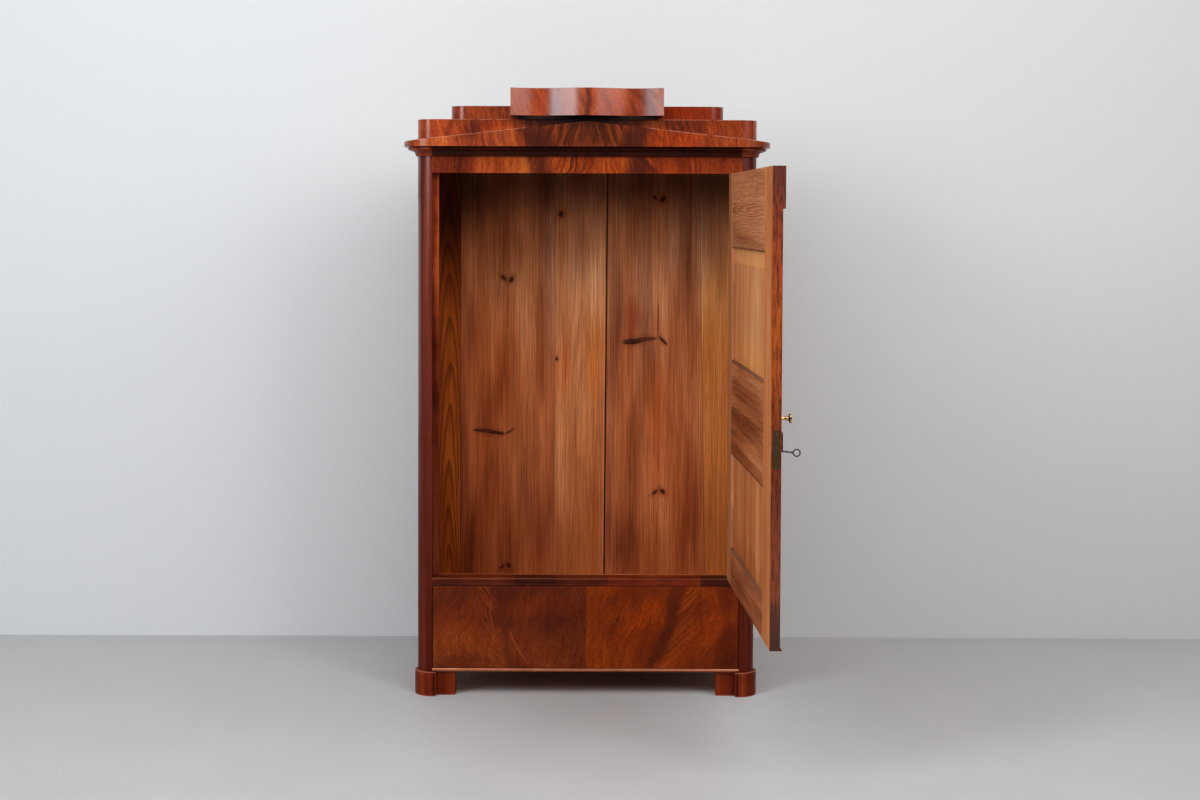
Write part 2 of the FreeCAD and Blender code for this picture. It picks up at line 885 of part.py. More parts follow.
def key():
    """A shank with a bit inside the lock and a round bow, drooping a little in its hole."""
    tip = lock_back - lock_wall - key_tip_inset
    bow_centre = front - key_reach
    shank_start = Vector(key_x, bow_centre + key_bow_radius, key_z)
    shank = rod(key_shank_radius, shank_start, Vector(key_x, tip, key_z))
    bit_end = tip - key_tip_inset / 2
    half = key_bit_thickness / 2
    bit = block(key_x - half, key_x + half, bit_end - key_bit_length, bit_end, key_z - key_bit_radius, key_z)
    bow = key_bow(Vector(key_x, bow_centre, key_z))
    whole = joined([shank, bit, bow])
    whole.rotate(Vector(key_x, (front + lock_middle) / 2, key_z), Vector(1, 0, 0), key_droop_angle)
    return whole


def escutcheon():
    """A raised plate whose foot is cut round the keyhole."""
    low = key_z - key_shank_radius / 2
    plate = block(
        key_x - escutcheon_width / 2,
        key_x + escutcheon_width / 2,
        front - escutcheon_reach,
        front,
        low,
        low + escutcheon_height,
    )
    upright = [edge for edge in plate.Edges if edge.BoundBox.YLength > escutcheon_reach / 2]
    high = [edge for edge in upright if edge.BoundBox.ZMin > low + escutcheon_height / 2]
    plate = plate.makeFillet(escutcheon_width / 2 * fillet_share, high)
    shoulders = [
        edge for edge in plate.Edges
        if edge.BoundBox.YLength > escutcheon_reach / 2 and edge.BoundBox.ZMax < low + escutcheon_height / 2
    ]
    plate = plate.makeFillet(escutcheon_rounding, shoulders)
    outer = [edge for edge in plate.Edges if edge.BoundBox.YMax < front - escutcheon_reach / 2]
    plate = plate.makeChamfer(escutcheon_reach * corner_share / 2, outer)
    return plate.cut(keyhole(front - escutcheon_reach - overrun, front + overrun))


def strike_plate_blank():
    x_low = -column_face - strike_thickness
    return block(
        x_low,
        -column_face,
        lock_middle - edge_plate_width / 2,
        lock_middle + edge_plate_width / 2,
        lock_height - strike_height / 2,
        lock_height + strike_height / 2,
    )


def strike_pocket():
    """The hole that the thrown bolt enters, through the strike plate and into the post."""
    half = bolt_height / 2 + strike_gap
    return block(
        -column_face - strike_pocket_depth,
        -column_face + overrun,
        bolt_front - strike_gap,
        bolt_back + strike_gap,
        lock_height - half,
        lock_height + half,
    )


def knob():
    """A turned pull: a foot, a neck that flares to a thin disc, and its screw in the door."""
    disc_back = knob_length - knob_rim - knob_dome
    neck_length = disc_back - knob_base_height
    outline = [(0, knob_length), (0, -knob_screw_length), (knob_screw_radius, -knob_screw_length)]
    outline += [(knob_screw_radius, 0), (knob_base_radius, 0), (knob_base_radius, knob_base_height)]
    for reach_share, flare_share in zip(knob_neck_reach_shares, knob_neck_flare_shares):
        radius = knob_neck_radius + flare_share * (knob_radius - knob_neck_radius)
        outline.append((radius, knob_base_height + reach_share * neck_length))
    outline += [(knob_radius, disc_back), (knob_radius, disc_back + knob_rim)]
    outline.append((knob_radius - knob_dome, knob_length))
    section = polygon([Vector(key_x + radius, front - reach, knob_height) for radius, reach in outline])
    return section.revolve(Vector(key_x, front, knob_height), Vector(0, 1, 0), 360)


def swung_open(shape):
    """A piece of the closed door, turned about the pivots to where the door rests."""
    placed = shape.copy()
    placed.rotate(Vector(pivot_x, pivot_y, 0), up, door_open_angle)
    return placed


def build():
    """Every piece by the name of its file."""
    case_plates, door_plates, pin_rooms = pivots()
    (hinge_stile, lock_stile, top_rail, middle_rail, bottom_rail,
     upper_panel, lower_panel, veneer) = door_frame_pieces()
    drawer_face, drawer_left, drawer_right, drawer_rear, drawer_base = drawer_pieces()
    hangings = door_plates + pin_rooms
    lock_room = [lock_body(), edge_plate()]
    door_keyhole = keyhole(front - overrun, lock_front + overrun)
    knob_piece = knob()
    left_post = without(column(), [strike_plate_blank(), strike_pocket()])
    lower_attic = (half_width, front, back)
    upper_attic = (half_width - upper_attic_inset, upper_front, back - upper_attic_rear_setback)

    pieces = {
        "left_side_panel": side_panel(),
        "right_side_panel": mirrored(side_panel()),
        "left_column": left_post,
        "right_column": mirrored(column()),
        "door_stops": both_sides(door_stop()),
        "frieze": without(frieze(), case_plates),
        "opening_rail": without(opening_rail(), case_plates),
        "rail_riser": rail_riser(),
        "floor_board": floor_board(),
        "floor_bearers": both_sides(floor_bearer()),
        "ceiling_board": ceiling_board(),
        "base_board": base_board(),
        "base_bead": base_bead(),
        "cornice_moulding": cornice_moulding(),
        "pediment_board": pediment_board(),
        "cornice_returns": both_sides(cornice_return()),
        "lower_attic_front": attic_front(lower_attic[0], lower_attic[1], case_top, lower_attic_top),
        "lower_attic_sides": attic_sides(*lower_attic, case_top, lower_attic_top),
        "lower_attic_top": attic_lid(*lower_attic, lower_attic_top),
        "upper_attic_front": attic_front(upper_attic[0], upper_attic[1], lower_attic_top, upper_attic_top),
        "upper_attic_sides": attic_sides(*upper_attic, lower_attic_top, upper_attic_top),
        "upper_attic_top": attic_lid(*upper_attic, upper_attic_top),
        "crown_cleat": crown_cleat(),
        "crown_front": crown_front(),
        "crown_sides": crown_sides(),
        "crown_top": crown_lid(),
        "front_feet": both_sides(front_foot()),
        "foot_blocks": both_sides(foot_block()),
        "rear_feet": both_sides(rear_foot()),
        "drawer_runners": both_sides(drawer_runner()),
        "case_pivots": Part.makeCompound(case_plates),
        "strike_plate": strike_plate_blank().cut(strike_pocket()),
        "drawer_front": drawer_face,
        "drawer_left_side": drawer_left,
        "drawer_right_side": drawer_right,
        "drawer_back": drawer_rear,
        "drawer_bottom": drawer_base,
    }
    for index, board in enumerate(back_boards()):
        pieces["back_board_%d" % (index + 1)] = board

    door = {
        "door_hinge_stile": without(hinge_stile, hangings),
        "door_lock_stile": without(lock_stile, lock_room + [door_keyhole, knob_piece]),
        "door_top_rail": top_rail,
        "door_middle_rail": without(middle_rail, lock_room),
        "door_bottom_rail": bottom_rail,
        "door_upper_panel": upper_panel,
        "door_lower_panel": lower_panel,
        "door_veneer": without(veneer, hangings + lock_room + [door_keyhole, knob_piece]),
        "door_head_board": without(head_board(), hangings),
        "door_foot_bead": without(foot_bead(), hangings),
        "door_pivots": Part.makeCompound(door_plates),
        "lock_case": lock_case(),
        "lock_bolt": lock_bolt(),
        "key": key(),
        "escutcheon": escutcheon(),
        "knob": knob_piece,
    }
    for name, shape in door.items():
        pieces[name] = swung_open(shape)
    return pieces


os.makedirs("parts", exist_ok=True)
for name, shape in build().items():
    shape.exportStep("parts/%s.step" % name)
    print(name, len(shape.Solids), round(shape.Volume), shape.isValid())
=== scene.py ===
import json
import math

import bpy
import numpy as np
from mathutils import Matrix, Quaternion, Vector


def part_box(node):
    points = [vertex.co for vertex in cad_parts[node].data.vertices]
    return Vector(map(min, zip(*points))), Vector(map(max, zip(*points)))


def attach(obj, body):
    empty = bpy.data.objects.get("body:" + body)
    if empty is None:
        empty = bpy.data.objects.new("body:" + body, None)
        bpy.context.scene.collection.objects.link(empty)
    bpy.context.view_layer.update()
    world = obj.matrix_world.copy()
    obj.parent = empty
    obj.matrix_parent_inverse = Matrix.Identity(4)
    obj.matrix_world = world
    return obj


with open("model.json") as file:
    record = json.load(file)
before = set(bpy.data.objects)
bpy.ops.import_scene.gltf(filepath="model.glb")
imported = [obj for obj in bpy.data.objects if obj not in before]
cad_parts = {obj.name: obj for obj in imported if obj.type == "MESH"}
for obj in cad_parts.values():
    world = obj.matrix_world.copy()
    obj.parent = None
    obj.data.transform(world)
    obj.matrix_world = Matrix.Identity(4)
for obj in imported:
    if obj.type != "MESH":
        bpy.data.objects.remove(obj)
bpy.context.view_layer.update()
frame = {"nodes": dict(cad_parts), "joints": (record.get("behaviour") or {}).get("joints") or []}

nodes = frame["nodes"]
print("frame loaded:", len(nodes), "nodes")

doorHinge = next(joint for joint in frame["joints"] if joint["name"] == "door_swing")
hingeX, hingeY = doorHinge["pos_m"][:2]
closingTurn = math.radians(doorHinge["range_deg"][0])   # from the open door at rest to the closed one
cosine, sine = math.cos(closingTurn), math.sin(closingTurn)


def tone(red, green, blue):   # a colour as a picture gives it, 0 to 255, made linear
    shares = [value / 255 for value in (red, green, blue)]
    linear = [((share + 0.055) / 1.055) ** 2.4 if share > 0.04045 else share / 12.92 for share in shares]
    return (*linear, 1.0)


def tones(*colours):
    return [tone(*colour) for colour in colours]


def operator(operation):   # a Python operator as a Math node, and the same with its sides swapped
    def plain(wire, other):
        return wire.math(operation, wire, other)

    def swapped(wire, other):
        return wire.math(operation, other, wire)
    return plain, swapped


class Wire:
    # One socket of a material. Maths on it adds the nodes that work it out.
    def __init__(self, finish, socket):
        self.finish = finish
        self.socket = socket

    def math(self, operation, *values):
        return self.finish.add("ShaderNodeMath", {"operation": operation}, values)

    __add__, __radd__ = operator("ADD")
    __sub__, __rsub__ = operator("SUBTRACT")
    __mul__, __rmul__ = operator("MULTIPLY")
    __truediv__, __rtruediv__ = operator("DIVIDE")
    __pow__, __rpow__ = operator("POWER")
    __mod__, __rmod__ = operator("FLOORED_MODULO")

    def __abs__(self):
        return self.math("ABSOLUTE", self)

    def least(self, other):
        return self.math("MINIMUM", self, other)


class Network:
    # A node tree in the making, and the shader at its end.
    def __init__(self, tree, shader):
        self.tree = tree
        self.shader = tree.nodes[shader]

    def add(self, kind, settings=None, sockets=None, output=0):
        node = self.tree.nodes.new(kind)
        for name, value in (settings or {}).items():
            if name == "stops":
                elements = node.color_ramp.elements
                while len(elements) < len(value):
                    elements.new(1.0)
                for element, (position, colour) in zip(elements, value):
                    element.position = position
                    element.color = colour
            else:
                setattr(node, name, value)
        given = sockets.items() if isinstance(sockets, dict) else enumerate(sockets or ())
        for key, value in given:
            if isinstance(value, Wire):
                self.tree.links.new(value.socket, node.inputs[key])
            elif value is not None:
                node.inputs[key].default_value = value
        if isinstance(output, (list, tuple)):
            return [Wire(self, node.outputs[key]) for key in output]
        return Wire(self, node.outputs[output])

    def feed(self, sockets):
        for name, value in sockets.items():
            if isinstance(value, Wire):
                self.tree.links.new(value.socket, self.shader.inputs[name])
            else:
                self.shader.inputs[name].default_value = value
        return self

    def place(self, onDoor=False):   # x, y, z in the row frame, or those of the closed door
        where = self.add("ShaderNodeTexCoord", output="Object")
        if onDoor:
            shift = (hingeX - hingeX * cosine + hingeY * sine, hingeY - hingeX * sine - hingeY * cosine, 0)
            where = self.add("ShaderNodeMapping", {"vector_type": "POINT"}, {
                "Vector": where, "Location": shift, "Rotation": (0, 0, closingTurn)})
        return self.add("ShaderNodeSeparateXYZ", None, [where], output=(0, 1, 2))

    # A smooth random field, 0 to 1. The factors on x, y and z are patches per metre, and a seed added to one of
    # them moves the field to a place of its own.
    def noise(self, x, y, z, detail=2.0, roughness=0.5):
        place = self.add("ShaderNodeCombineXYZ", None, [x, y, z])
        return self.add("ShaderNodeTexNoise", {"noise_dimensions": "3D"}, {
            "Vector": place, "Scale": 1.0, "Detail": detail, "Roughness": roughness})

    def smooth(self, value, low, high):   # 0 at low, 1 at high, eased; low may be the larger one
        return self.add("ShaderNodeMapRange", {"interpolation_type": "SMOOTHSTEP"}, [value, low, high, 0.0, 1.0])

    def between(self, value, low, high, soft):   # 1 from low to high, 0 beyond them, with borders of twice soft
        return self.smooth(value, low - soft, low + soft) * self.smooth(value, high + soft, high - soft)

    def ramp(self, value, stops):
        return self.add("ShaderNodeValToRGB", {"stops": stops}, [value])

    def mix(self, share, first, second, blend="MIX"):
        settings = {"data_type": "RGBA", "blend_type": blend}
        return self.add("ShaderNodeMix", settings, {0: share, 6: first, 7: second}, output=2)

    def tint(self, share, colour, factors):   # the colour times three factors, as far as the share says
        return self.mix(share, colour, (*factors, 1.0), "MULTIPLY")

    def bump(self, height, distance, strength):
        return self.add("ShaderNodeBump", None, {"Strength": strength, "Distance": distance, "Height": height})


class Finish(Network):
    # One material, on its own Principled shader.
    def __init__(self, name, sockets):
        self.material = bpy.data.materials.new(name)
        self.material.use_nodes = True
        super().__init__(self.material.node_tree, "Principled BSDF")
        self.feed(sockets)


def dress(maker, table):   # a material for each entry, put on the nodes that its "on" names
    for name, settings in table.items():
        material = maker(name, settings).material
        for nodeName in settings["on"].split():
            nodes[nodeName].data.materials.clear()
            nodes[nodeName].data.materials.append(material)


def grainOf(finish, wood):   # the place along, across and through the grain, such as "zxy" for an upright board
    x, y, z = finish.place(wood.get("onDoor", False))
    axes = {"x": x, "y": y, "z": z}
    return [axes[letter] for letter in wood["grain"]]


def darker(colours, share):
    return [(*(value * share for value in colour[:3]), 1.0) for colour in colours]


def spread(stops, low=0.3, high=0.7):   # tones at even steps over the range that a noise really takes
    count = len(stops)
    return [(low + (high - low) * index / (count - 1), stop) for index, stop in enumerate(stops)]


crisp = 0.0002   # half the width of a sharp border between two finishes, in metres
cut = 0.0008     # the same where two sheets of veneer meet
skin = 0.0006    # how far in front of a back face its bare wood begins


# Bare pine. The rings are cylinders round a heart that lies beside and behind the board and drifts along it,
# so they cut the face as long arches. These lists mark it, each entry with:
#   knots: across, along, size, lean. It pushes the rings aside, and has a dark core in a red-brown halo
#   spikes: across and along at the start, the same at the end, half width at both. A branch cut lengthwise
#   hairs: across, lowest, highest, half width, share. A fine dark line along the heart
#   blots: across, along, half width, half height, factors, share. A smoky, grey or bright patch, or painted shade
#   fades: where it starts, where it ends, factors, share. Darker by degrees along the board; at the top, painted
#       shade
#   bands: axis, low, high, tone, share. A pale or dusty strip, or a painted shadow, between two straight lines
#   seams: across at the foot, across at the head, half width, share, share of the painted highlight beside it, its
#       top
pineCommon = {
    "tones": tones((142, 72, 36), (166, 88, 46), (186, 102, 56), (200, 116, 67), (214, 132, 82)),
    "ringTone": tone(112, 50, 22), "ringShare": 0.3, "pitch": 0.0055, "heart": 0.1, "heartDepth": 0.045,
    "drift": 0.03, "broad": 0.6, "cloud": 0.55, "streak": 0.55, "streaks": 260.0, "fibre": 1.4, "fades": [],
    "knots": [], "spikes": [], "hairs": [], "blots": [], "bands": [], "seams": [], "knotTone": tone(44, 20, 14),
    "haloTone": tone(128, 56, 28), "roughness": 0.62,
}


def pineFinish(name, wood):
    wood = {**pineCommon, **wood}
    finish = Finish(name, {"Roughness": wood["roughness"], "Specular IOR Level": 0.12})
    mix, tint, smooth, noise = finish.mix, finish.tint, finish.smooth, finish.noise
    along, across, through = grainOf(finish, wood)
    seed = wood["seed"]
    warp = noise(along * 1.4, across * 7, through * 7 + seed, detail=2) - 0.5
    broad = noise(along * 0.6, across * 10, through * 10 + seed * 3, detail=2) - 0.5
    streak = noise(along * 2.2, (across + warp * 0.012) * wood["streaks"], through * 70 + seed, detail=3,
                   roughness=0.6) - 0.5
    cloud = noise(along * 2.6, across * 15, through * 15 + seed * 2, detail=2, roughness=0.3) - 0.5
    hairline = noise(along * 1.1, (across + warp * 0.012) * 190, through * 70 + seed + 7.0, detail=2, roughness=0.6)
    fibre = noise(along * 9, across * 300, through * 300 + seed, detail=3, roughness=0.65) - 0.5
    push = 0.0
    marks = []   # (mask, tone), put on in this order after the grain
    halo, core = wood["haloTone"], wood["knotTone"]
    for knotAcross, knotAlong, size, lean in wood["knots"]:
        rise = along - knotAlong + streak * 0.008
        reach = (((across - knotAcross - rise * lean + fibre * 0.004) / (size * 0.8)) ** 2
                 + (rise / size) ** 2 + 0.0001) ** 0.5
        push = smooth(reach, 5.0, 0.3) * 2.0 + push
        marks.append((smooth(reach, 3.0, 0.9) * 0.5, halo))
        marks.append((smooth(reach, 1.2, 0.7) * 0.9, core))
    for startX, startZ, endX, endZ, startHalf, endHalf in wood["spikes"]:
        share = (across - startX) / (endX - startX)
        line = along - startZ - share * (endZ - startZ) + cloud * 0.016 + fibre * 0.006
        bulge = 0.5 + share * (1.0 - share) * 2.4
        reach = abs(line) / ((startHalf + share * (endHalf - startHalf)) * bulge)
        within = smooth(share, -0.08, 0.1) * smooth(share, 1.08, 0.95)
        worn = smooth(reach + fibre * 1.6 + cloud * 2.0, 0.4, 0.05) * 0.5
        marks.append((smooth(reach, 4.5, 0.8) * within * 0.5, halo))
        marks.append((smooth(reach + fibre * 1.2, 1.4, 0.7) * within * (1.0 - worn), core))
    for hairX, lowZ, highZ, half, amount in wood["hairs"]:
        line = abs(across - hairX + warp * 0.006)
        within = smooth(along, lowZ - 0.01, lowZ + 0.02) * smooth(along, highZ + 0.01, highZ - 0.02)
        marks.append((smooth(line, half * 1.5, half * 0.5) * within * amount, halo))
    side = across - wood["heart"] + warp * 0.02
    depth = wood["heartDepth"] + along * wood["drift"] + warp * 0.015
    turns = ((side * side + depth * depth) ** 0.5 / wood["pitch"] + push) % 1.0
    late = smooth(turns, 0.3, 0.9) * smooth(turns, 1.0, 0.92)
    share = 0.5 + broad * wood["broad"] + cloud * wood["cloud"] + streak * wood["streak"]
    colour = finish.ramp(share, spread(wood["tones"]))
    colour = mix(late * wood["ringShare"], colour, wood["ringTone"])
    colour = mix(smooth(hairline, 0.57, 0.66) * 0.22, colour, wood["ringTone"])
    for blotX, blotZ, wide, tall, shade, amount in wood["blots"]:
        reach = (((across + cloud * 0.04 - blotX) / wide) ** 2 + ((along + broad * 0.15 - blotZ) / tall) ** 2
                 + cloud * 1.2 + streak * 0.8)
        colour = tint(smooth(reach, 1.7, 0.0) * amount, colour, shade)
    for start, end, shade, amount in wood["fades"]:
        colour = tint(smooth(along + cloud * 0.15, start, end) * amount, colour, shade)
    colour = mix(1.0, colour, fibre * wood["fibre"] + 1.0, "MULTIPLY")
    for mask, markTone in marks:
        colour = mix(mask, colour, markTone)
    if "stained" in wood:   # stained dark in front of a plane, where it shows between veneered faces
        plane, shade = wood["stained"]
        colour = mix(smooth(through, plane + crisp, plane - crisp), colour, shade)
    for axis, low, high, shade, amount in wood["bands"]:
        value = (along if axis == "along" else across) + streak * 0.004
        within = finish.between(value, low, high, 0.001)
        colour = mix(within * (streak * 1.2 + 1.0) * amount, colour, shade)
    # Each seam: a dark gap line, and beside it a pale line that is a painted highlight on the board's edge, up to a
    # height
    for footX, headX, half, shade, seamHighlight, seamHighlightTop in wood["seams"]:
        line = across - footX - (along - boards["footZ"]) * ((headX - footX) / boards["rise"])
        rubbedAndHighlight = smooth(abs(line + half * 2.0), 0.003, 0.0008) * smooth(along, seamHighlightTop, seamHighlightTop - 0.3)
        colour = mix(rubbedAndHighlight * seamHighlight * (cloud + 0.8), colour, boards["seamHighlightTone"])
        colour = mix(smooth(abs(line), half * 1.6, half * 0.5) * shade, colour, boards["gapTone"])
    # Painted shade: the lapped edges behind the face are near black, so the gaps between boards read dark
    if wood["seams"]:   # the lapped edges are dark behind the face
        face, back = boards["lap"]
        inside = smooth(through, face, face + 0.0006) * smooth(through, back + 0.0004, back)
        colour = mix(inside * 0.9, colour, boards["lapShadeTone"])
    return finish.feed({
        "Base Color": colour,
        "Roughness": wood["roughness"] + 0.12 * (0.5 - late),
        "Normal": finish.bump(fibre * 0.6 + late * 0.4, 0.0005, 0.4),
    })


def polished(name, wood):   # a material under a coat of polish
    coat = {"Coat Roughness": wood["coatRough"], "Coat IOR": wood["coatIor"]}
    return Finish(name, {"Specular IOR Level": 0.06, **coat})


def bareBehind(finish, wood, colour, coat):   # bare wood behind a plane, with its grain across
    plane, bareTone = wood["behind"]
    x, y, z = finish.place()
    bare = finish.smooth(y, plane - crisp, plane + crisp)
    grain = finish.noise(x * 2.2, y, z * 180 + wood["seed"], detail=3, roughness=0.6)
    return finish.mix(bare, colour, finish.mix(1.0, bareTone, grain + 0.5, "MULTIPLY")), coat * (1.0 - bare)


# Polished mahogany, cut straight. Ribbons run along the grain, over curls that cross it, short dark pores follow
# it, and the polish is worn thin in places. Its lists and settings:
#   parts: low, high, factors. A piece of veneer of another tone, between two cuts
#   lines: axis, distance from zero, half width, tone, share. A joint, or an arris rubbed pale and with a painted
#       highlight
#   fades: as in pine; on the door stops a painted shade towards the top
#   inner: reach, tone. A side's bare inner face, which is the one nearer the middle
#   behind: plane, tone. Bare wood behind the plane
#   coatFades: the polish is dull below the first height and full above the second
mahoganyCommon = {
    "tones": tones((58, 19, 8), (94, 32, 12), (126, 47, 18), (152, 65, 26), (176, 88, 42)), "ribbons": 34.0,
    "ribbonLength": 1.0, "curl": 16.0, "curlShare": 0.3, "coat": 0.4, "coatRough": 0.25, "coatIor": 1.45,
    "roughness": 0.45, "sway": 0.05, "parts": [], "lines": [], "fades": [],
}


def mahoganyFinish(name, wood):
    wood = {**mahoganyCommon, **wood}
    finish = polished(name, wood)
    mix, tint, smooth, noise = finish.mix, finish.tint, finish.smooth, finish.noise
    along, across, through = grainOf(finish, wood)
    seed = wood["seed"]
    sway = (noise(along * 1.5, across * 5, through * 5 + seed, detail=1) - 0.5) * wood["sway"]
    ribbon = noise(along * wood["ribbonLength"], (across + sway) * wood["ribbons"], through * 34 + seed, detail=3,
                   roughness=0.55)
    curl = noise(along * wood["curl"], (across + sway) * 11, through * 9 + seed * 2, detail=2)
    pore = noise(along * 55, (across + sway) * 900, through * 900, detail=1)
    share = ribbon * (1 - wood["curlShare"]) + curl * wood["curlShare"]
    colour = finish.ramp(share, spread(wood["tones"]))
    colour = mix(smooth(pore, 0.52, 0.74) * 0.35, colour, wood["tones"][0])
    for low, high, shade in wood["parts"]:
        colour = tint(finish.between(along, low, high, cut), colour, shade)
    wear = noise(along * 6, across * 9, through * 9 + seed, detail=4, roughness=0.65)
    # Dark joints, and pale arrises that are partly wear and partly a painted highlight
    for axis, at, half, shade, amount in wood["lines"]:
        line = abs(abs(along if axis == "along" else across) - at)
        colour = mix(smooth(line, half * 1.5, half * 0.6) * (wear * 0.8 + 0.6) * amount, colour, shade)
    coat = wood["coat"] * smooth(wear, 0.18, 0.5)
    if "inner" in wood:
        reach, bareTone = wood["inner"]
        bare = smooth(abs(through), reach + crisp * 3, reach)
        grain = mix(1.0, bareTone, ribbon * 1.1 + curl * 0.4 + pore * 0.4, "MULTIPLY")
        colour = mix(bare, colour, grain)
        coat = coat * (1.0 - bare)
    if "behind" in wood:
        colour, coat = bareBehind(finish, wood, colour, coat)
    for start, end, shade, amount in wood["fades"]:
        colour = tint(smooth(along + wear * 0.1, start, end) * amount, colour, shade)
    if "coatFades" in wood:
        coat = coat * smooth(along, *wood["coatFades"])
    return finish.feed({
        "Base Color": colour,
        "Roughness": wood["roughness"] + (wear - 0.5) * 0.3,
        "Coat Weight": coat,
        "Normal": finish.bump(pore, 0.0003, 0.25),
    })


# Figured veneer over the fronts. Faint ribbons stand across the board and bend slowly, over broad soft zones of
# tone. With mirror, the figure is book-matched about that x. Its lists and settings:
#   plumes: x at the foot, foot z, lean, half width, share, flank side. A dark leaning band with fine bright
#     branches on one flank
#   streaks: x and z at the start, the same at the end, half width, share, tone. A thin pale line
#   blots: x, z, half width, half height, lean, factors, share. A patch of another tone, painted shade or reflection
#   parts: x of the joint, factors. Another sheet of veneer begins there
#   shaded: half run, factors. Painted shade: the straight run between the corners is darker than they are
#   arris: z at x = 0, fall per metre, width, least distance from the middle. Rubbed pale, and a painted highlight
#   rim: half width, lowest z, highest z, reach. Painted shade of the gap round a front, on its border
#   edgeTones: a ramp over the height of the door's free edge
#   dull: where it begins, where it ends, share. The polish is thinner to the right of a place
#   behind: as in mahogany
veneerCommon = {
    "tones": tones((62, 20, 9), (100, 35, 13), (132, 51, 19), (158, 70, 27), (182, 94, 44)), "ribbons": 75.0,
    "ribbonHeight": 7.0, "zones": 6.0, "zoneHeight": 3.0, "bend": 0.05, "lean": 0.0, "zoneShare": 0.9,
    "ribbonShare": 0.45, "mottleShare": 0.35, "fineShare": 0.35, "plumes": [], "streaks": [], "blots": [],
    "parts": [], "coat": 0.85, "coatRough": 0.2, "coatIor": 1.5, "roughness": 0.45, "mirror": None,
    "flank": tone(186, 84, 26), "plumeTone": tone(58, 19, 9), "arrisTone": tone(206, 150, 126),
    "rimShadeTone": tone(22, 8, 5),
}
doorEdge = {"foot": 0.4, "rise": 1.42, "x": -0.529, "streakTone": tone(58, 22, 12)}   # of the closed door


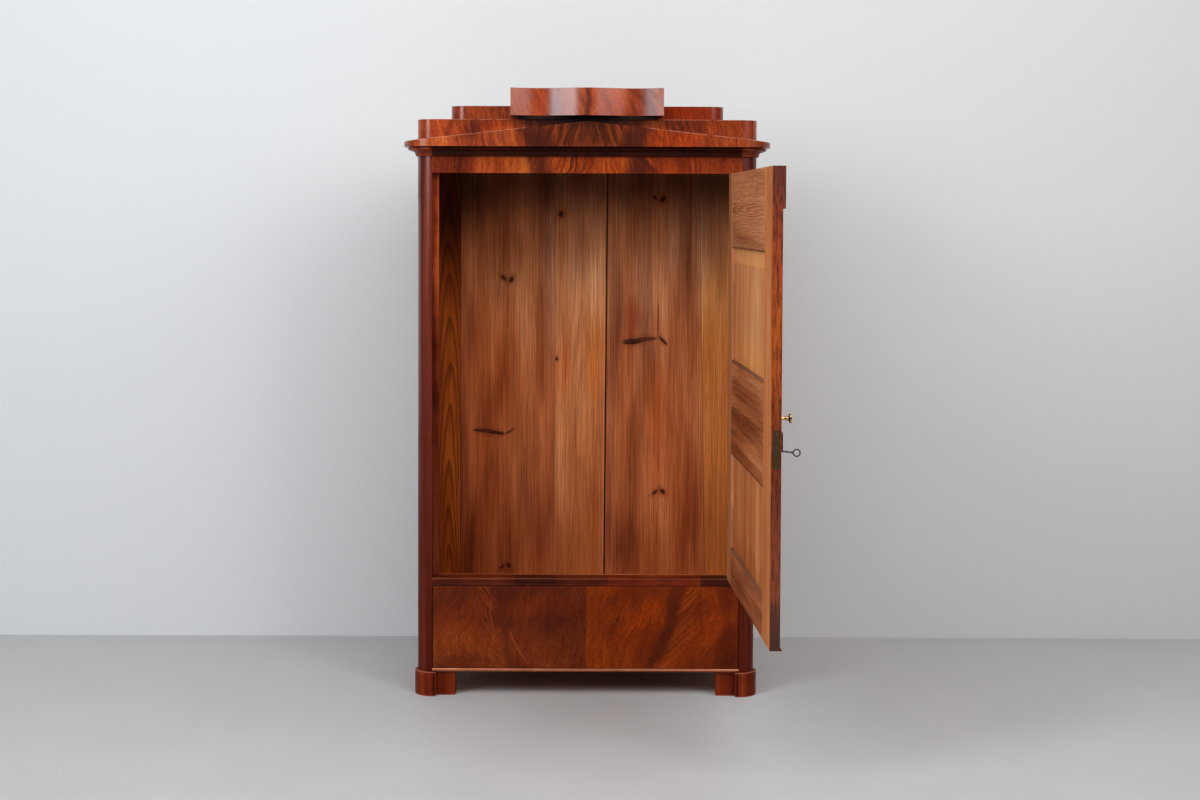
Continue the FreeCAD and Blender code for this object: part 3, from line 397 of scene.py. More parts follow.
def veneerFinish(name, wood):
    wood = {**veneerCommon, **wood}
    finish = polished(name, wood)
    mix, tint, smooth, noise = finish.mix, finish.tint, finish.smooth, finish.noise
    x, y, z = finish.place(wood.get("onDoor", False))
    seed = wood["seed"]
    flat = x if wood["mirror"] is None else abs(x - wood["mirror"])
    bendBig = noise(flat * 3.5, z * 6, seed, detail=1) - 0.5
    bendSmall = noise(flat * 16, z * 14, seed + 5.0, detail=2) - 0.5
    run = flat + z * wood["lean"] + bendBig * wood["bend"] + bendSmall * wood["bend"] * 0.3
    ribbon = noise(run * wood["ribbons"], z * wood["ribbonHeight"], y * 20 + seed, detail=3, roughness=0.6) - 0.5
    zone = noise(run * wood["zones"], z * wood["zoneHeight"], seed + 11.0, detail=2) - 0.5
    mottle = noise(run * 190, z * 110, y * 110 + seed, detail=3, roughness=0.7) - 0.5
    fine = noise(run * 330, z * 16, y * 40 + seed + 3.0, detail=2, roughness=0.6) - 0.5
    share = (0.5 + zone * wood["zoneShare"] + ribbon * wood["ribbonShare"] + mottle * wood["mottleShare"]
             + fine * wood["fineShare"])
    colour = finish.ramp(share, spread(wood["tones"], 0.26, 0.74))
    for blotX, blotZ, wide, tall, lean, shade, amount in wood["blots"]:
        offset = x - blotX - (z - blotZ) * lean + bendBig * 0.05 + bendSmall * 0.03
        reach = (offset / wide) ** 2 + ((z - blotZ + bendSmall * 0.05) / tall) ** 2
        colour = tint(smooth(reach, 1.6, 0.1) * amount, colour, shade)
    for jointX, shade in wood["parts"]:
        colour = tint(smooth(x, jointX - cut, jointX + cut), colour, shade)
    for footX, footZ, lean, half, amount, flankSide in wood["plumes"]:
        offset = (x - footX - (z - footZ) * lean + bendBig * 0.05 + bendSmall * 0.03) * flankSide
        fan = noise((z - offset * 1.4) * 75, offset * 12, seed + 21.0, detail=3, roughness=0.65)
        band = smooth(offset, half * -1.3, half * -0.5) * smooth(offset, half * 2.2, half * 0.2)
        side = smooth(offset, half * 0.8, half * 2.2) * smooth(offset, half * 7.0, half * 2.0)
        colour = mix(side * smooth(fan, 0.42, 0.66) * amount * 0.7, colour, wood["flank"])
        colour = mix(band * (fan * 0.9 + 0.3) * amount, colour, wood["plumeTone"])
    for startX, startZ, endX, endZ, half, amount, streakTone in wood["streaks"]:
        share = (z - startZ) / (endZ - startZ)
        line = abs(x - startX - share * (endX - startX) + bendSmall * 0.02)
        within = smooth(share, -0.15, 0.1) * smooth(share, 1.15, 0.85)
        colour = mix(smooth(line, half * 1.6, half * 0.3) * within * amount, colour, streakTone)
    pore = noise(flat * 700, z * 60, y * 700, detail=1)
    colour = mix(smooth(pore, 0.54, 0.76) * 0.3, colour, wood["tones"][0])
    # Painted shade on the straight run between the corners
    if "shaded" in wood:
        halfRun, shade = wood["shaded"]
        colour = tint(smooth(abs(x), halfRun + crisp * 3, halfRun - crisp * 3), colour, shade)
    # A pale top edge: the polish rubbed thin in patches, and a painted highlight
    if "arris" in wood:
        peak, fall, width, away = wood["arris"]
        below = peak - abs(x) * fall - z
        rubbedAndHighlight = smooth(noise(x * 30, z * 30, seed, detail=2), 0.34, 0.48)
        rubbedAndHighlight = rubbedAndHighlight * smooth(abs(x), away - 0.02, away)
        colour = mix(smooth(below, width, width * 0.4) * rubbedAndHighlight * 0.6, colour, wood["arrisTone"])
    # Painted shade of the gap round the front, on the front's border
    if "rim" in wood:
        halfWidth, lowZ, highZ, reach = wood["rim"]
        border = (halfWidth - abs(x)).least(z - lowZ).least(highZ - z)
        colour = mix(smooth(border, reach, reach * 0.4) * 0.85, colour, wood["rimShadeTone"])
    wear = noise(x * 8, y * 8, z * 8 + seed, detail=4, roughness=0.65)
    if "edgeTones" in wood:   # upright streaks on the door's free edge
        edgeStreak = noise(z * 5, y * 150, seed + 31.0, detail=4, roughness=0.7)
        edgeBlotch = noise(z * 20, y * 110, seed + 37.0, detail=5, roughness=0.75)
        edgeBase = finish.ramp((z - doorEdge["foot"]) / doorEdge["rise"], wood["edgeTones"])
        edgeShare = smooth(edgeStreak * 0.4 + edgeBlotch * 0.6, 0.42, 0.6) * 0.85
        edgeColour = mix(edgeShare, edgeBase, doorEdge["streakTone"])
        colour = mix(smooth(x, doorEdge["x"] + crisp, doorEdge["x"] - crisp), colour, edgeColour)
    coat = wood["coat"] * smooth(wear, 0.15, 0.48)
    if "dull" in wood:
        start, end, amount = wood["dull"]
        coat = coat * (1.0 - smooth(x, start, end) * amount)
    if "behind" in wood:
        colour, coat = bareBehind(finish, wood, colour, coat)
    return finish.feed({
        "Base Color": colour,
        "Roughness": wood["roughness"] + (wear - 0.5) * 0.25,
        "Coat Weight": coat,
        "Normal": finish.bump(pore + ribbon * 0.4, 0.0003, 0.15),
    })


# The case's polished parts
drawerLow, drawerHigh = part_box("drawer_front")
uprights = {
    "grain": "zxy", "seed": 1.3,
    "tones": tones((58, 17, 8), (77, 24, 12), (92, 30, 15), (106, 37, 19), (122, 50, 29)), "curlShare": 0.1,
    "ribbonLength": 0.5, "coat": 1, "coatRough": 0.22, "coatIor": 1.5, "coatFades": (0.3, 1.5),
}
crossRails = {
    "grain": "xzy", "seed": 2.9, "ribbons": 90, "curlShare": 0.4, "ribbonLength": 3, "coat": 0.15, "sway": 0.004,
    "parts": [
        (-0.245, -0.107, (0.62, 0.6, 0.6)), (-0.107, 0.076, (0.9, 0.85, 0.8)), (0.076, 0.397, (1.5, 1.2, 0.9)),
        (0.397, 0.54, (0.62, 0.58, 0.6))],
    # a pale top edge: wear and a painted highlight
    "lines": [("across", 0.4095, 0.0008, tone(170, 100, 72), 0.55)],
    "tones": tones((50, 15, 6), (70, 22, 8), (88, 30, 11), (106, 40, 15), (126, 54, 24)),
}
dress(mahoganyFinish, {
    "leftMahogany": {"on": "left_column", **uprights},
    "rightMahogany": {"on": "right_column", **uprights, "seed": 1.9, "tones": darker(uprights["tones"], 0.78)},
    "revealMahogany": {
        # its fade is painted shade, darker towards the top under the frieze
        "on": "door_stops", "grain": "zxy", "seed": 6.1, "coat": 0.3, "fades": [(1.7, 1.15, (0.42, 0.36, 0.36), 1)],
        "tones": tones((96, 30, 12), (134, 48, 20), (168, 72, 32), (192, 92, 46), (214, 118, 66)),
    },
    "sideMahogany": {
        "on": "left_side_panel right_side_panel", "grain": "zyx", "seed": 4.1, "ribbons": 22, "curl": 5,
        "curlShare": 0.25, "ribbonLength": 0.7, "coat": 0.7, "inner": (0.5615, tone(176, 102, 56)),
    },
    "footMahogany": {
        "on": "front_feet foot_blocks", "grain": "zxy", "seed": 7.7, "coat": 0.04, "roughness": 0.5,
        "tones": tones((68, 20, 7), (92, 28, 9), (110, 36, 11), (124, 45, 15), (146, 64, 28)),
        "lines": [
            # a dark joint, and a pale top edge that is wear and a painted highlight
            ("across", 0.5256, 0.0022, tone(18, 6, 4), 1), ("along", 0.0828, 0.0009, tone(184, 112, 88), 0.6),
            ("along", 0, 0.003, tone(150, 84, 56), 0.5)],
    },
    "railMahogany": {"on": "opening_rail", **crossRails},
    "beadMahogany": {
        "on": "base_bead", **crossRails, "seed": 8.8, "roughness": 0.5, "parts": [],
        "tones": tones((144, 80, 52), (170, 99, 67), (190, 115, 81), (202, 129, 95), (214, 146, 116)),
    },
})

# The veneered fronts of the case. The pediment and frieze are book-matched: dark crotches either side of the
# middle, with bright feathers on their inner flanks.
dress(veneerFinish, {
    "friezeVeneer": {
        "on": "frieze", "seed": 3.1, "ribbons": 90, "coat": 0.6,
        "blots": [
            (0, 1.84, 2, 2, 0, (0.84, 0.74, 0.55), 1), (-0.33, 1.84, 0.08, 0.08, 0.5, (0.85, 0.72, 0.6), 0.7),
            (-0.02, 1.84, 0.06, 0.08, 0, (0.72, 0.58, 0.55), 0.7),
            (0.085, 1.84, 0.045, 0.08, 0, (1.15, 1, 0.6), 0.7), (0.3, 1.84, 0.12, 0.08, 0, (1, 0.85, 0.4), 0.6)],
        "plumes": [
            (-0.17, 1.84, -0.45, 0.036, 1, 1), (0.18, 1.84, 0.45, 0.03, 1, -1), (0.205, 1.84, -0.9, 0.01, 0.5, 1)],
    },
    "corniceVeneer": {
        "on": "cornice_moulding cornice_returns", "seed": 5.3, "ribbons": 60, "coat": 0.15,
        "arris": (1.9002, 0, 0.0014, 0),
        "tones": tones((70, 22, 8), (96, 33, 12), (124, 46, 17), (150, 62, 24), (170, 82, 38)),
        # painted shade on the cove's front
        "shaded": (0.5312, (0.17, 0.13, 0.14)),
    },
    "pedimentVeneer": {
        "on": "pediment_board", "flank": tone(146, 62, 22), "seed": 6.7, "bend": 0.06, "ribbons": 90,
        "arris": (1.986, 0.1093, 0.0018, 0.22),
        "blots": [
            # the blots at x = 0 are painted shadow of the crown on the pediment's middle
            (-0.4, 1.93, 0.14, 0.08, 0, (1.35, 1.45, 1.7), 0.8), (0, 1.94, 0.2, 0.08, 0, (0.21, 0.19, 0.13), 1),
            (0, 1.99, 0.2, 0.03, 0, (0.3, 0.26, 0.3), 0.9), (-0.3, 1.94, 0.05, 0.06, 0.5, (0.66, 0.66, 0.72), 0.8),
            (0.3, 1.93, 0.1, 0.08, 0, (1.65, 1.3, 0.35), 0.8)],
        "plumes": [
            (-0.185, 1.94, -0.45, 0.038, 0.9, 1), (0.182, 1.94, 0.45, 0.036, 0.9, -1),
            (0.245, 1.94, -0.9, 0.01, 0.5, 1)],
    },
    "lowerAtticVeneer": {
        "on": "lower_attic_front", "seed": 9.2, "lean": 0.15, "arris": (1.9935, 0, 0.0014, 0.27),
        "blots": [
            # the blot at x = 0 is a painted shadow, near black, under the crown
            (-0.42, 1.97, 0.16, 0.06, 0.3, (1.4, 1.3, 1.1), 0.8), (0, 1.99, 0.26, 0.05, 0, (0.04, 0.03, 0.03), 1),
            (0.42, 1.97, 0.16, 0.06, 0, (0.76, 0.64, 0.45), 0.8)],
        "plumes": [(-0.475, 1.955, 0.5, 0.01, 0.6, 1)],
    },
    "upperAtticVeneer": {
        "on": "upper_attic_front", "seed": 12.4, "ribbons": 110, "ribbonHeight": 20, "zones": 4, "lean": 0.1,
        "zoneShare": 0.5,
        "blots": [
            (0.35, 2.02, 0.2, 0.08, 0, (0.66, 0.34, 0.1), 1), (-0.35, 2.02, 0.16, 0.08, 0, (0.85, 0.85, 1.1), 0.7)],
    },
    "crownVeneer": {
        "on": "crown_front crown_sides", "seed": 15.5,
        "tones": tones((90, 30, 11), (114, 42, 15), (138, 55, 20), (158, 70, 30), (178, 92, 50)), "ribbons": 60,
        "ribbonHeight": 9, "zones": 9, "lean": 0.5, "bend": 0.04, "zoneShare": 0.6, "coat": 1, "coatRough": 0.26,
        "coatIor": 1.65, "dull": (0.02, 0.14, 0.4), "plumes": [(-0.006, 2.05, 0.03, 0.008, 0.85, 1)],
        "blots": [
            (0.03, 2.05, 0.024, 0.09, -0.3, (1.2, 0.95, 0.45), 0.9),
            (0.16, 2.05, 0.03, 0.1, 0, (0.62, 0.5, 0.48), 0.9),
            (0.085, 2.05, 0.035, 0.1, 0, (1.25, 1.15, 0.9), 0.8),
            (-0.215, 2.05, 0.04, 0.1, 0, (1.3, 1.2, 0.9), 0.8),
            # the blots at x = 0.208 and -0.112 are a painted reflection: red cut and blue raised where the
            # highlights fall
            (-0.155, 2.05, 0.022, 0.1, 0, (1.2, 0.95, 0.5), 0.9), (0.208, 2.05, 0.026, 0.1, 0, (0.45, 0.6, 2), 0.8),
            (-0.112, 2.05, 0.018, 0.1, 0, (0.62, 0.95, 2.6), 0.8)],
    },
    "drawerVeneer": {
        "on": "drawer_front", "seed": 18.2, "ribbons": 70, "ribbonHeight": 12, "zones": 3.5, "zoneHeight": 4,
        "bend": 0.09, "lean": -0.25, "coat": 0.12, "coatIor": 1.4, "zoneShare": 0.8, "ribbonShare": 0.3,
        "mottleShare": 0.4, "fineShare": 0.3, "parts": [(0.002, (1.75, 1.62, 0.3))],
        "behind": (drawerHigh.y - skin, tone(176, 112, 66)),
        "rim": (drawerHigh.x, drawerLow.z, drawerHigh.z, 0.0022),
        "plumes": [(0.231, 0.122, 0.34, 0.019, 0.72, 1), (-0.262, 0.12, -0.12, 0.02, 0.3, -1)],
        "streaks": [
            (-0.265, 0.228, -0.206, 0.115, 0.0032, 0.5, tone(160, 72, 34)),
            (-0.335, 0.3, -0.322, 0.235, 0.0018, 0.4, tone(168, 80, 40)),
            (-0.35, 0.31, -0.338, 0.255, 0.0014, 0.35, tone(168, 80, 40))],
        "blots": [
            (-0.42, 0.22, 0.12, 0.09, -0.5, (1.45, 1.45, 1), 0.8),
            (-0.22, 0.31, 0.26, 0.045, 0, (1.3, 1.22, 0.9), 0.8),
            (-0.49, 0.26, 0.05, 0.3, 0, (0.85, 0.85, 0.9), 0.6), (-0.2, 0.33, 0.08, 0.1, 0, (1.15, 1.2, 0.9), 0.6),
            (-0.07, 0.22, 0.07, 0.2, 0, (0.85, 0.8, 0.85), 0.6),
            (0.2, 0.25, 0.085, 0.09, 0.3, (1.95, 1.8, 0.72), 0.9),
            (0.1, 0.33, 0.06, 0.06, 0, (1.4, 1.3, 0.75), 0.7), (0.36, 0.2, 0.07, 0.16, 0.4, (1.05, 0.9, 0.6), 0.6),
            (0.4, 0.34, 0.12, 0.08, 0.2, (0.68, 0.55, 0.5), 0.9),
            (0.46, 0.22, 0.05, 0.12, 0.2, (0.84, 0.76, 0.7), 0.7),
            (-0.38, 0.15, 0.12, 0.05, 0, (0.74, 0.74, 0.9), 0.7), (0.5, 0.22, 0.05, 0.3, 0, (0.5, 0.4, 0.5), 0.9)],
        "tones": tones((58, 18, 6), (78, 26, 8), (98, 35, 10), (118, 47, 13), (142, 65, 22)),
    },
})
for atticSides in ("lower_attic_sides", "upper_attic_sides"):
    behind = (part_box(atticSides)[1].y - skin, tone(160, 98, 58))
    wood = {"on": atticSides, "grain": "yzx", "seed": 13, "behind": behind}
    dress(mahoganyFinish, {atticSides + "_mahogany": wood})

# The door's front, seen when it closes, and its other polished parts
dress(veneerFinish, {
    "doorVeneer": {
        "on": "door_veneer", "onDoor": True, "seed": 21, "mirror": 0, "ribbons": 30, "ribbonHeight": 1.6,
        "zones": 5, "zoneHeight": 0.9, "bend": 0.1, "lean": 0.25,
        "plumes": [(0, 0.4, 0, 0.03, 0.6, 1), (0, 0.4, 0, 0.03, 0.6, -1)],
        "edgeTones": [
            (0, tone(58, 22, 15)), (0.07, tone(84, 32, 18)), (0.13, tone(142, 62, 30)), (0.36, tone(120, 50, 26)),
            (0.47, tone(138, 58, 24)), (0.57, tone(172, 78, 28)), (0.72, tone(174, 82, 28)),
            (0.79, tone(158, 68, 32)), (0.9, tone(136, 60, 36)), (0.96, tone(104, 52, 42))],
    },
    "headBoardVeneer": {
        "on": "door_head_board", "onDoor": True, "seed": 23,
        "edgeTones": [(0, tone(90, 40, 30)), (0.9, tone(112, 58, 48)), (1, tone(98, 52, 46))],
    },
})
dress(mahoganyFinish, {"doorBeadMahogany": {"on": "door_foot_bead", "onDoor": True, "grain": "xzy", "seed": 24}})
print("mahogany done")

# The back boards, each a board of its own, with seams between them that lean a little
boardLow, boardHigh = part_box("back_board_1")
boards = {
    "seamHighlightTone": tone(222, 150, 96), "gapTone": tone(28, 14, 9), "lap": (0.2684, 0.2793),
    "lapShadeTone": (0.02, 0.014, 0.012, 1), "footZ": boardLow.z, "rise": boardHigh.z - boardLow.z,
    "seams": [
        (-0.4744, -0.4744, 0.0016, 0.6, 0.2, 1.4), (-0.1203, -0.1203, 0.0012, 0.3, 0.55, 1),
        (0.063, 0.0733, 0.003, 0.9, 0.45, 2), (0.4469, 0.4137, 0.0014, 0.4, 0.2, 2)],
    # painted shade darkens the tops, as the shadow under the case's head; a greyer band below; darker near the foot
    "fades": [
        (1.05, 1.52, (1.22, 1.6, 2), 1), (1.55, 1.8, (0.25, 0.27, 0.31), 1), (0.75, 0.36, (0.76, 0.7, 0.62), 0.9)],
}
backBoards = {
    "back_board_1": {
        "heart": -0.52, "heartDepth": 0.004, "drift": 0.045, "ringShare": 0.7, "pitch": 0.0075, "seed": 2,
        "ringTone": tone(92, 38, 9), "streak": 0.35,
        # painted shade at the top, deeper on this corner board; darker near the foot
        "fades": [(1.35, 1.68, (0.26, 0.29, 0.3), 1), (0.75, 0.36, (0.85, 0.8, 0.8), 0.9)],
        "tones": tones((130, 57, 10), (145, 66, 13), (159, 76, 17), (170, 86, 23), (184, 100, 34)),
    },
    "back_board_2": {
        "heart": -0.3, "heartDepth": 0.006, "drift": 0.003, "ringShare": 0.22, "pitch": 0.006, "seed": 5,
        "knots": [
            (-0.314, 1.432, 0.01, -0.6), (-0.285, 1.426, 0.011, 0.3), (-0.294, 0.35, 0.01, -0.4),
            (-0.318, 0.345, 0.008, 0.6)],
        "spikes": [(-0.428, 0.863, -0.312, 0.849, 0.0048, 0.007), (-0.268, 0.869, -0.306, 0.85, 0.0014, 0.003)],
        "hairs": [(-0.298, 1.23, 1.42, 0.0016, 0.7), (-0.3, 0.86, 1.16, 0.0016, 0.5)],
        "blots": [
            # the first blot is painted shade in the top left corner of the inside
            (-0.46, 1.76, 0.08, 0.2, (0.4, 0.38, 0.38), 0.9), (-0.25, 1, 0.05, 1.2, (1.2, 1.35, 1.4), 0.8),
            (-0.38, 0.9, 0.05, 0.6, (0.95, 0.85, 0.65), 0.8), (-0.15, 1.74, 0.016, 0.1, (0.6, 0.56, 0.62), 0.7),
            (-0.148, 1.38, 0.026, 0.38, (1.28, 1.35, 1.5), 0.7),
            (-0.155, 1.56, 0.025, 0.13, (0.88, 0.92, 1.1), 0.8),
            (-0.375, 0.96, 0.05, 0.12, (0.55, 0.45, 0.42), 0.6), (-0.46, 0.62, 0.03, 0.4, (0.55, 0.45, 0.38), 0.6),
            (-0.24, 1.28, 0.03, 0.16, (1.08, 1.12, 1.25), 0.7), (-0.3, 1.1, 0.05, 0.25, (1.15, 1, 0.75), 0.6),
            (-0.2, 0.75, 0.08, 0.35, (0.8, 0.78, 0.85), 0.5), (-0.136, 1.36, 0.035, 0.42, (1.1, 1.34, 1.7), 0.8),
            (-0.25, 1.71, 0.06, 0.12, (1.28, 1.42, 1.5), 0.9), (-0.36, 1.55, 0.06, 0.25, (0.86, 0.88, 0.86), 0.7)],
    },
    "back_board_3": {
        "heart": -0.02, "heartDepth": 0.1, "drift": 0.02, "ringShare": 0.2, "seed": 9,
        "knots": [(-0.101, 1.671, 0.012, 0.1), (-0.1165, 1.129, 0.007, 0)],
        "blots": [
            (-0.02, 1.7, 0.05, 0.12, (1.12, 1.22, 1.5), 0.8), (-0.03, 1.5, 0.05, 0.13, (0.92, 0.95, 1.15), 0.7),
            (-0.045, 1.29, 0.035, 0.1, (1.15, 1.2, 1.35), 0.6), (0.03, 1.14, 0.035, 0.18, (1.15, 1, 0.65), 0.7),
            (-0.09, 1.1, 0.03, 0.12, (1.1, 0.92, 0.7), 0.6), (0.03, 0.45, 0.06, 0.16, (1.05, 0.95, 0.8), 0.6)],
        "tones": tones((154, 82, 41), (176, 98, 52), (192, 112, 62), (204, 126, 75), (216, 142, 90)),
    },
    "back_board_4": {
        "heart": 0.266, "heartDepth": 0.006, "drift": 0.003, "ringShare": 0.22, "pitch": 0.006, "seed": 13,
        "knots": [
            (0.28, 1.728, 0.014, 0.3), (0.25, 1.733, 0.009, -0.5), (0.283, 0.632, 0.011, -0.4),
            (0.254, 0.628, 0.009, 0.7)],
        "spikes": [(0.13, 1.192, 0.256, 1.207, 0.011, 0.005), (0.298, 1.186, 0.268, 1.212, 0.005, 0.007)],
        "hairs": [(0.264, 1.215, 1.34, 0.002, 1), (0.266, 0.7, 0.95, 0.003, 0.4), (0.262, 0.42, 0.56, 0.003, 0.5)],
        "blots": [
            (0.088, 0.85, 0.028, 0.42, (0.58, 0.5, 0.58), 0.7), (0.165, 1.14, 0.018, 0.16, (0.72, 0.5, 0.45), 0.8),
            (0.165, 1.27, 0.03, 0.09, (0.78, 0.5, 0.42), 0.8), (0.1, 1.4, 0.03, 0.25, (0.72, 0.66, 0.72), 0.6),
            (0.24, 0.95, 0.035, 0.14, (1.3, 1.1, 0.7), 0.7), (0.34, 0.8, 0.04, 0.45, (0.84, 0.76, 0.68), 0.8),
            (0.11, 0.45, 0.05, 0.14, (0.5, 0.42, 0.5), 0.7), (0.39, 1.55, 0.035, 0.2, (0.6, 0.58, 0.62), 0.6),
            (0.4, 0.8, 0.03, 0.5, (0.8, 0.7, 0.7), 0.6), (0.3, 0.62, 0.08, 0.3, (1.1, 0.95, 0.75), 0.5),
            (0.215, 1.2, 0.04, 0.45, (1, 1.2, 1.5), 0.8), (0.325, 1.62, 0.04, 0.17, (1, 1.2, 1.5), 0.8),
            (0.095, 1.25, 0.02, 0.35, (0.86, 0.96, 1.15), 0.7)],
    },
    "back_board_5": {
        "heart": 0.64, "heartDepth": 0.04, "drift": -0.04, "ringShare": 0.25, "pitch": 0.009, "seed": 17,
        "blots": [(0.444, 1.66, 0.08, 0.28, (0.8, 0.82, 1.35), 1)],
        "tones": tones((192, 108, 46), (202, 118, 54), (212, 128, 62), (220, 138, 72), (228, 150, 86)),
    },
}
for order, (nodeName, board) in enumerate(backBoards.items()):
    seams = boards["seams"][max(0, order - 1):order + 1]
    board = {"on": nodeName, "grain": "zxy", "seams": seams, "fades": boards["fades"], **board}
    dress(pineFinish, {nodeName + "_pine": board})

# The case's plain parts
dress(pineFinish, {
    "crossPine": {
        "on": "floor_board rail_riser floor_bearers ceiling_board base_board", "grain": "xyz", "seed": 25,
    },
    "runnerPine": {"on": "drawer_runners", "grain": "yxz", "seed": 29},
    "rearFootPine": {"on": "rear_feet", "grain": "zxy", "seed": 31},
    "drawerPine": {"on": "drawer_left_side drawer_right_side", "grain": "yzx", "seed": 33},
    "drawerBackPine": {"on": "drawer_back drawer_bottom", "grain": "xzy", "seed": 35},
    "lidPine": {
        "on": "lower_attic_top upper_attic_top crown_top", "grain": "xyz", "seed": 27, "roughness": 0.75,
        "tones": tones((112, 74, 50), (130, 88, 62), (146, 102, 74), (160, 116, 86), (174, 132, 102)),
    },
})

# The door's frame and panels inside
doorPine = {
    "onDoor": True, "grain": "zxy", "ringShare": 0.25, "cloud": 0.35, "stained": (-0.2706, tone(64, 24, 11)),
    "tones": tones((154, 92, 54), (176, 108, 67), (194, 126, 83), (208, 141, 98), (220, 158, 116)),
}
panelPine = {
    **doorPine, "streaks": 110, "streak": 0.6,
    "tones": tones((186, 112, 62), (202, 128, 75), (216, 143, 88), (226, 157, 102), (236, 172, 120)),
}
lockStileTones = tones((166, 92, 46), (186, 107, 56), (202, 122, 69), (214, 136, 81), (224, 152, 99))
midTones = tones((114, 56, 28), (142, 75, 40), (166, 94, 54), (184, 111, 66), (202, 132, 88))
dress(pineFinish, {
    "stilePine": {
        "on": "door_hinge_stile", **doorPine, "seed": 41, "blots": [(0.52, 1.1, 0.03, 0.9, (0.7, 0.62, 0.6), 0.8)],
    },
    "lockStilePine": {
        "on": "door_lock_stile", **doorPine, "seed": 43, "tones": lockStileTones,
        "bands": [("across", -0.367, -0.3645, tone(226, 150, 88), 0.6)],
    },
    "topRailPine": {
        "on": "door_top_rail", **doorPine, "grain": "xzy", "seed": 45, "heart": 1.685, "heartDepth": 0.012,
        "ringShare": 0.5, "pitch": 0.0065, "broad": 0.4, "cloud": 0.3,
        "spikes": [(1.775, -0.2, 1.69, 0.02, 0.0016, 0.0012)], "knotTone": tone(214, 170, 136),
        "haloTone": tone(176, 112, 78), "knots": [(1.79, 0.28, 0.004, 0), (1.778, -0.15, 0.004, 0)],
        "blots": [(1.575, 0, 0.016, 1.2, (0.75, 0.68, 0.66), 0.8), (1.74, 0.2, 0.05, 0.3, (1.1, 1.05, 1.1), 0.6)],
        # a dark band along the rail's lower edge: painted shadow
        "bands": [("across", 1.5585, 1.5625, tone(72, 40, 26), 0.8)],
    },
    "middleRailPine": {
        "on": "door_middle_rail", **doorPine, "grain": "xzy", "seed": 47, "heart": 1, "heartDepth": 0.03,
        "drift": 0.05, "ringShare": 0.45, "pitch": 0.009, "streaks": 120, "tones": midTones, "broad": 0.9,
        "blots": [
            (1.1, 0.1, 0.035, 0.35, (0.66, 0.54, 0.46), 0.8), (1, 0.05, 0.03, 0.3, (0.72, 0.58, 0.52), 0.8),
            (0.93, -0.1, 0.04, 0.3, (1.1, 1.05, 0.95), 0.7)],
        "bands": [
            # the second band, along the lower edge, is painted shadow
            ("across", 1.172, 1.1805, tone(104, 72, 54), 0.7), ("across", 0.862, 0.8655, tone(84, 42, 26), 0.7)],
    },
    "bottomRailPine": {
        "on": "door_bottom_rail", **doorPine, "grain": "xzy", "seed": 49, "tones": midTones, "streaks": 60,
        "bands": [("across", 0.531, 0.5405, tone(112, 84, 68), 0.65)],
    },
    "upperPanelPine": {
        "on": "door_upper_panel", **panelPine, "seed": 51, "knots": [(-0.345, 1.512, 0.006, 0)],
        "blots": [(0.1, 1.18, 0.8, 0.1, (1.15, 1.1, 0.85), 0.7)],
        "bands": [("along", 1.508, 1.562, tone(236, 164, 98), 0.5)],
    },
    "lowerPanelPine": {
        "on": "door_lower_panel", **panelPine, "seed": 53, "tones": lockStileTones,
        "blots": [(0.1, 0.56, 0.8, 0.05, (0.8, 0.7, 0.66), 0.7)],
    },
})
print("pine done")


# Metals. Tarnish gathers in patches of a broken noise, and rubbed places are brighter and smoother.
metals = {
    "iron": {
        "patch": 120.0, "clean": 0.5, "tarnish": tone(58, 44, 38), "bare": tone(118, 112, 108), "dull": 0.7,
        "bright": 0.45, "crust": 0.6, "on": "case_pivots door_pivots strike_plate",
    },
    "darkBrass": {
        "patch": 60.0, "clean": 0.46, "tarnish": tone(52, 36, 18), "bare": tone(104, 78, 38), "dull": 0.6,
        "bright": 0.4, "crust": 0.7, "on": "lock_case",
    },
    "brass": {
        "patch": 90.0, "clean": 0.38, "tarnish": tone(96, 66, 36), "bare": tone(212, 178, 124), "dull": 0.38,
        "bright": 0.12, "crust": 0.3, "on": "knob",
    },
    "darkBronze": {
        "patch": 90.0, "clean": 0.48, "tarnish": tone(40, 22, 20), "bare": tone(96, 62, 50), "dull": 0.55,
        "bright": 0.35, "crust": 0.4, "on": "escutcheon",
    },
    "steel": {
        "patch": 140.0, "clean": 0.46, "tarnish": tone(40, 35, 32), "bare": tone(132, 126, 120), "dull": 0.55,
        "bright": 0.28, "crust": 0.4, "on": "key",
    },
    "patinaSteel": {
        "patch": 60.0, "clean": 0.5, "tarnish": tone(56, 46, 30), "bare": tone(112, 98, 72), "dull": 0.6,
        "bright": 0.4, "crust": 0.6, "on": "lock_bolt",
    },
}


def metalFinish(name, metal):
    finish = Finish(name, {"Metallic": 1.0, "IOR": 1.5})
    mix, noise = finish.mix, finish.noise
    x, y, z = finish.place()
    patch = noise(x * metal["patch"], y * metal["patch"], z * metal["patch"], detail=5, roughness=0.62)
    grit = noise(x * 900, y * 900, z * 900, detail=2)
    rubbedAndHighlight = finish.smooth(patch, metal["clean"], metal["clean"] + 0.16)
    colour = mix(rubbedAndHighlight, metal["tarnish"], metal["bare"])
    colour = mix(1.0, colour, grit * 0.4 + 0.8, "MULTIPLY")
    return finish.feed({
        "Base Color": colour,
        "Metallic": 1.0 - (1.0 - rubbedAndHighlight) * metal["crust"],
        "Roughness": metal["dull"] + (metal["bright"] - metal["dull"]) * rubbedAndHighlight,
        "Normal": finish.bump(grit * 0.4 + patch * 0.6, 0.0002, 0.4),
    })


dress(metalFinish, metals)
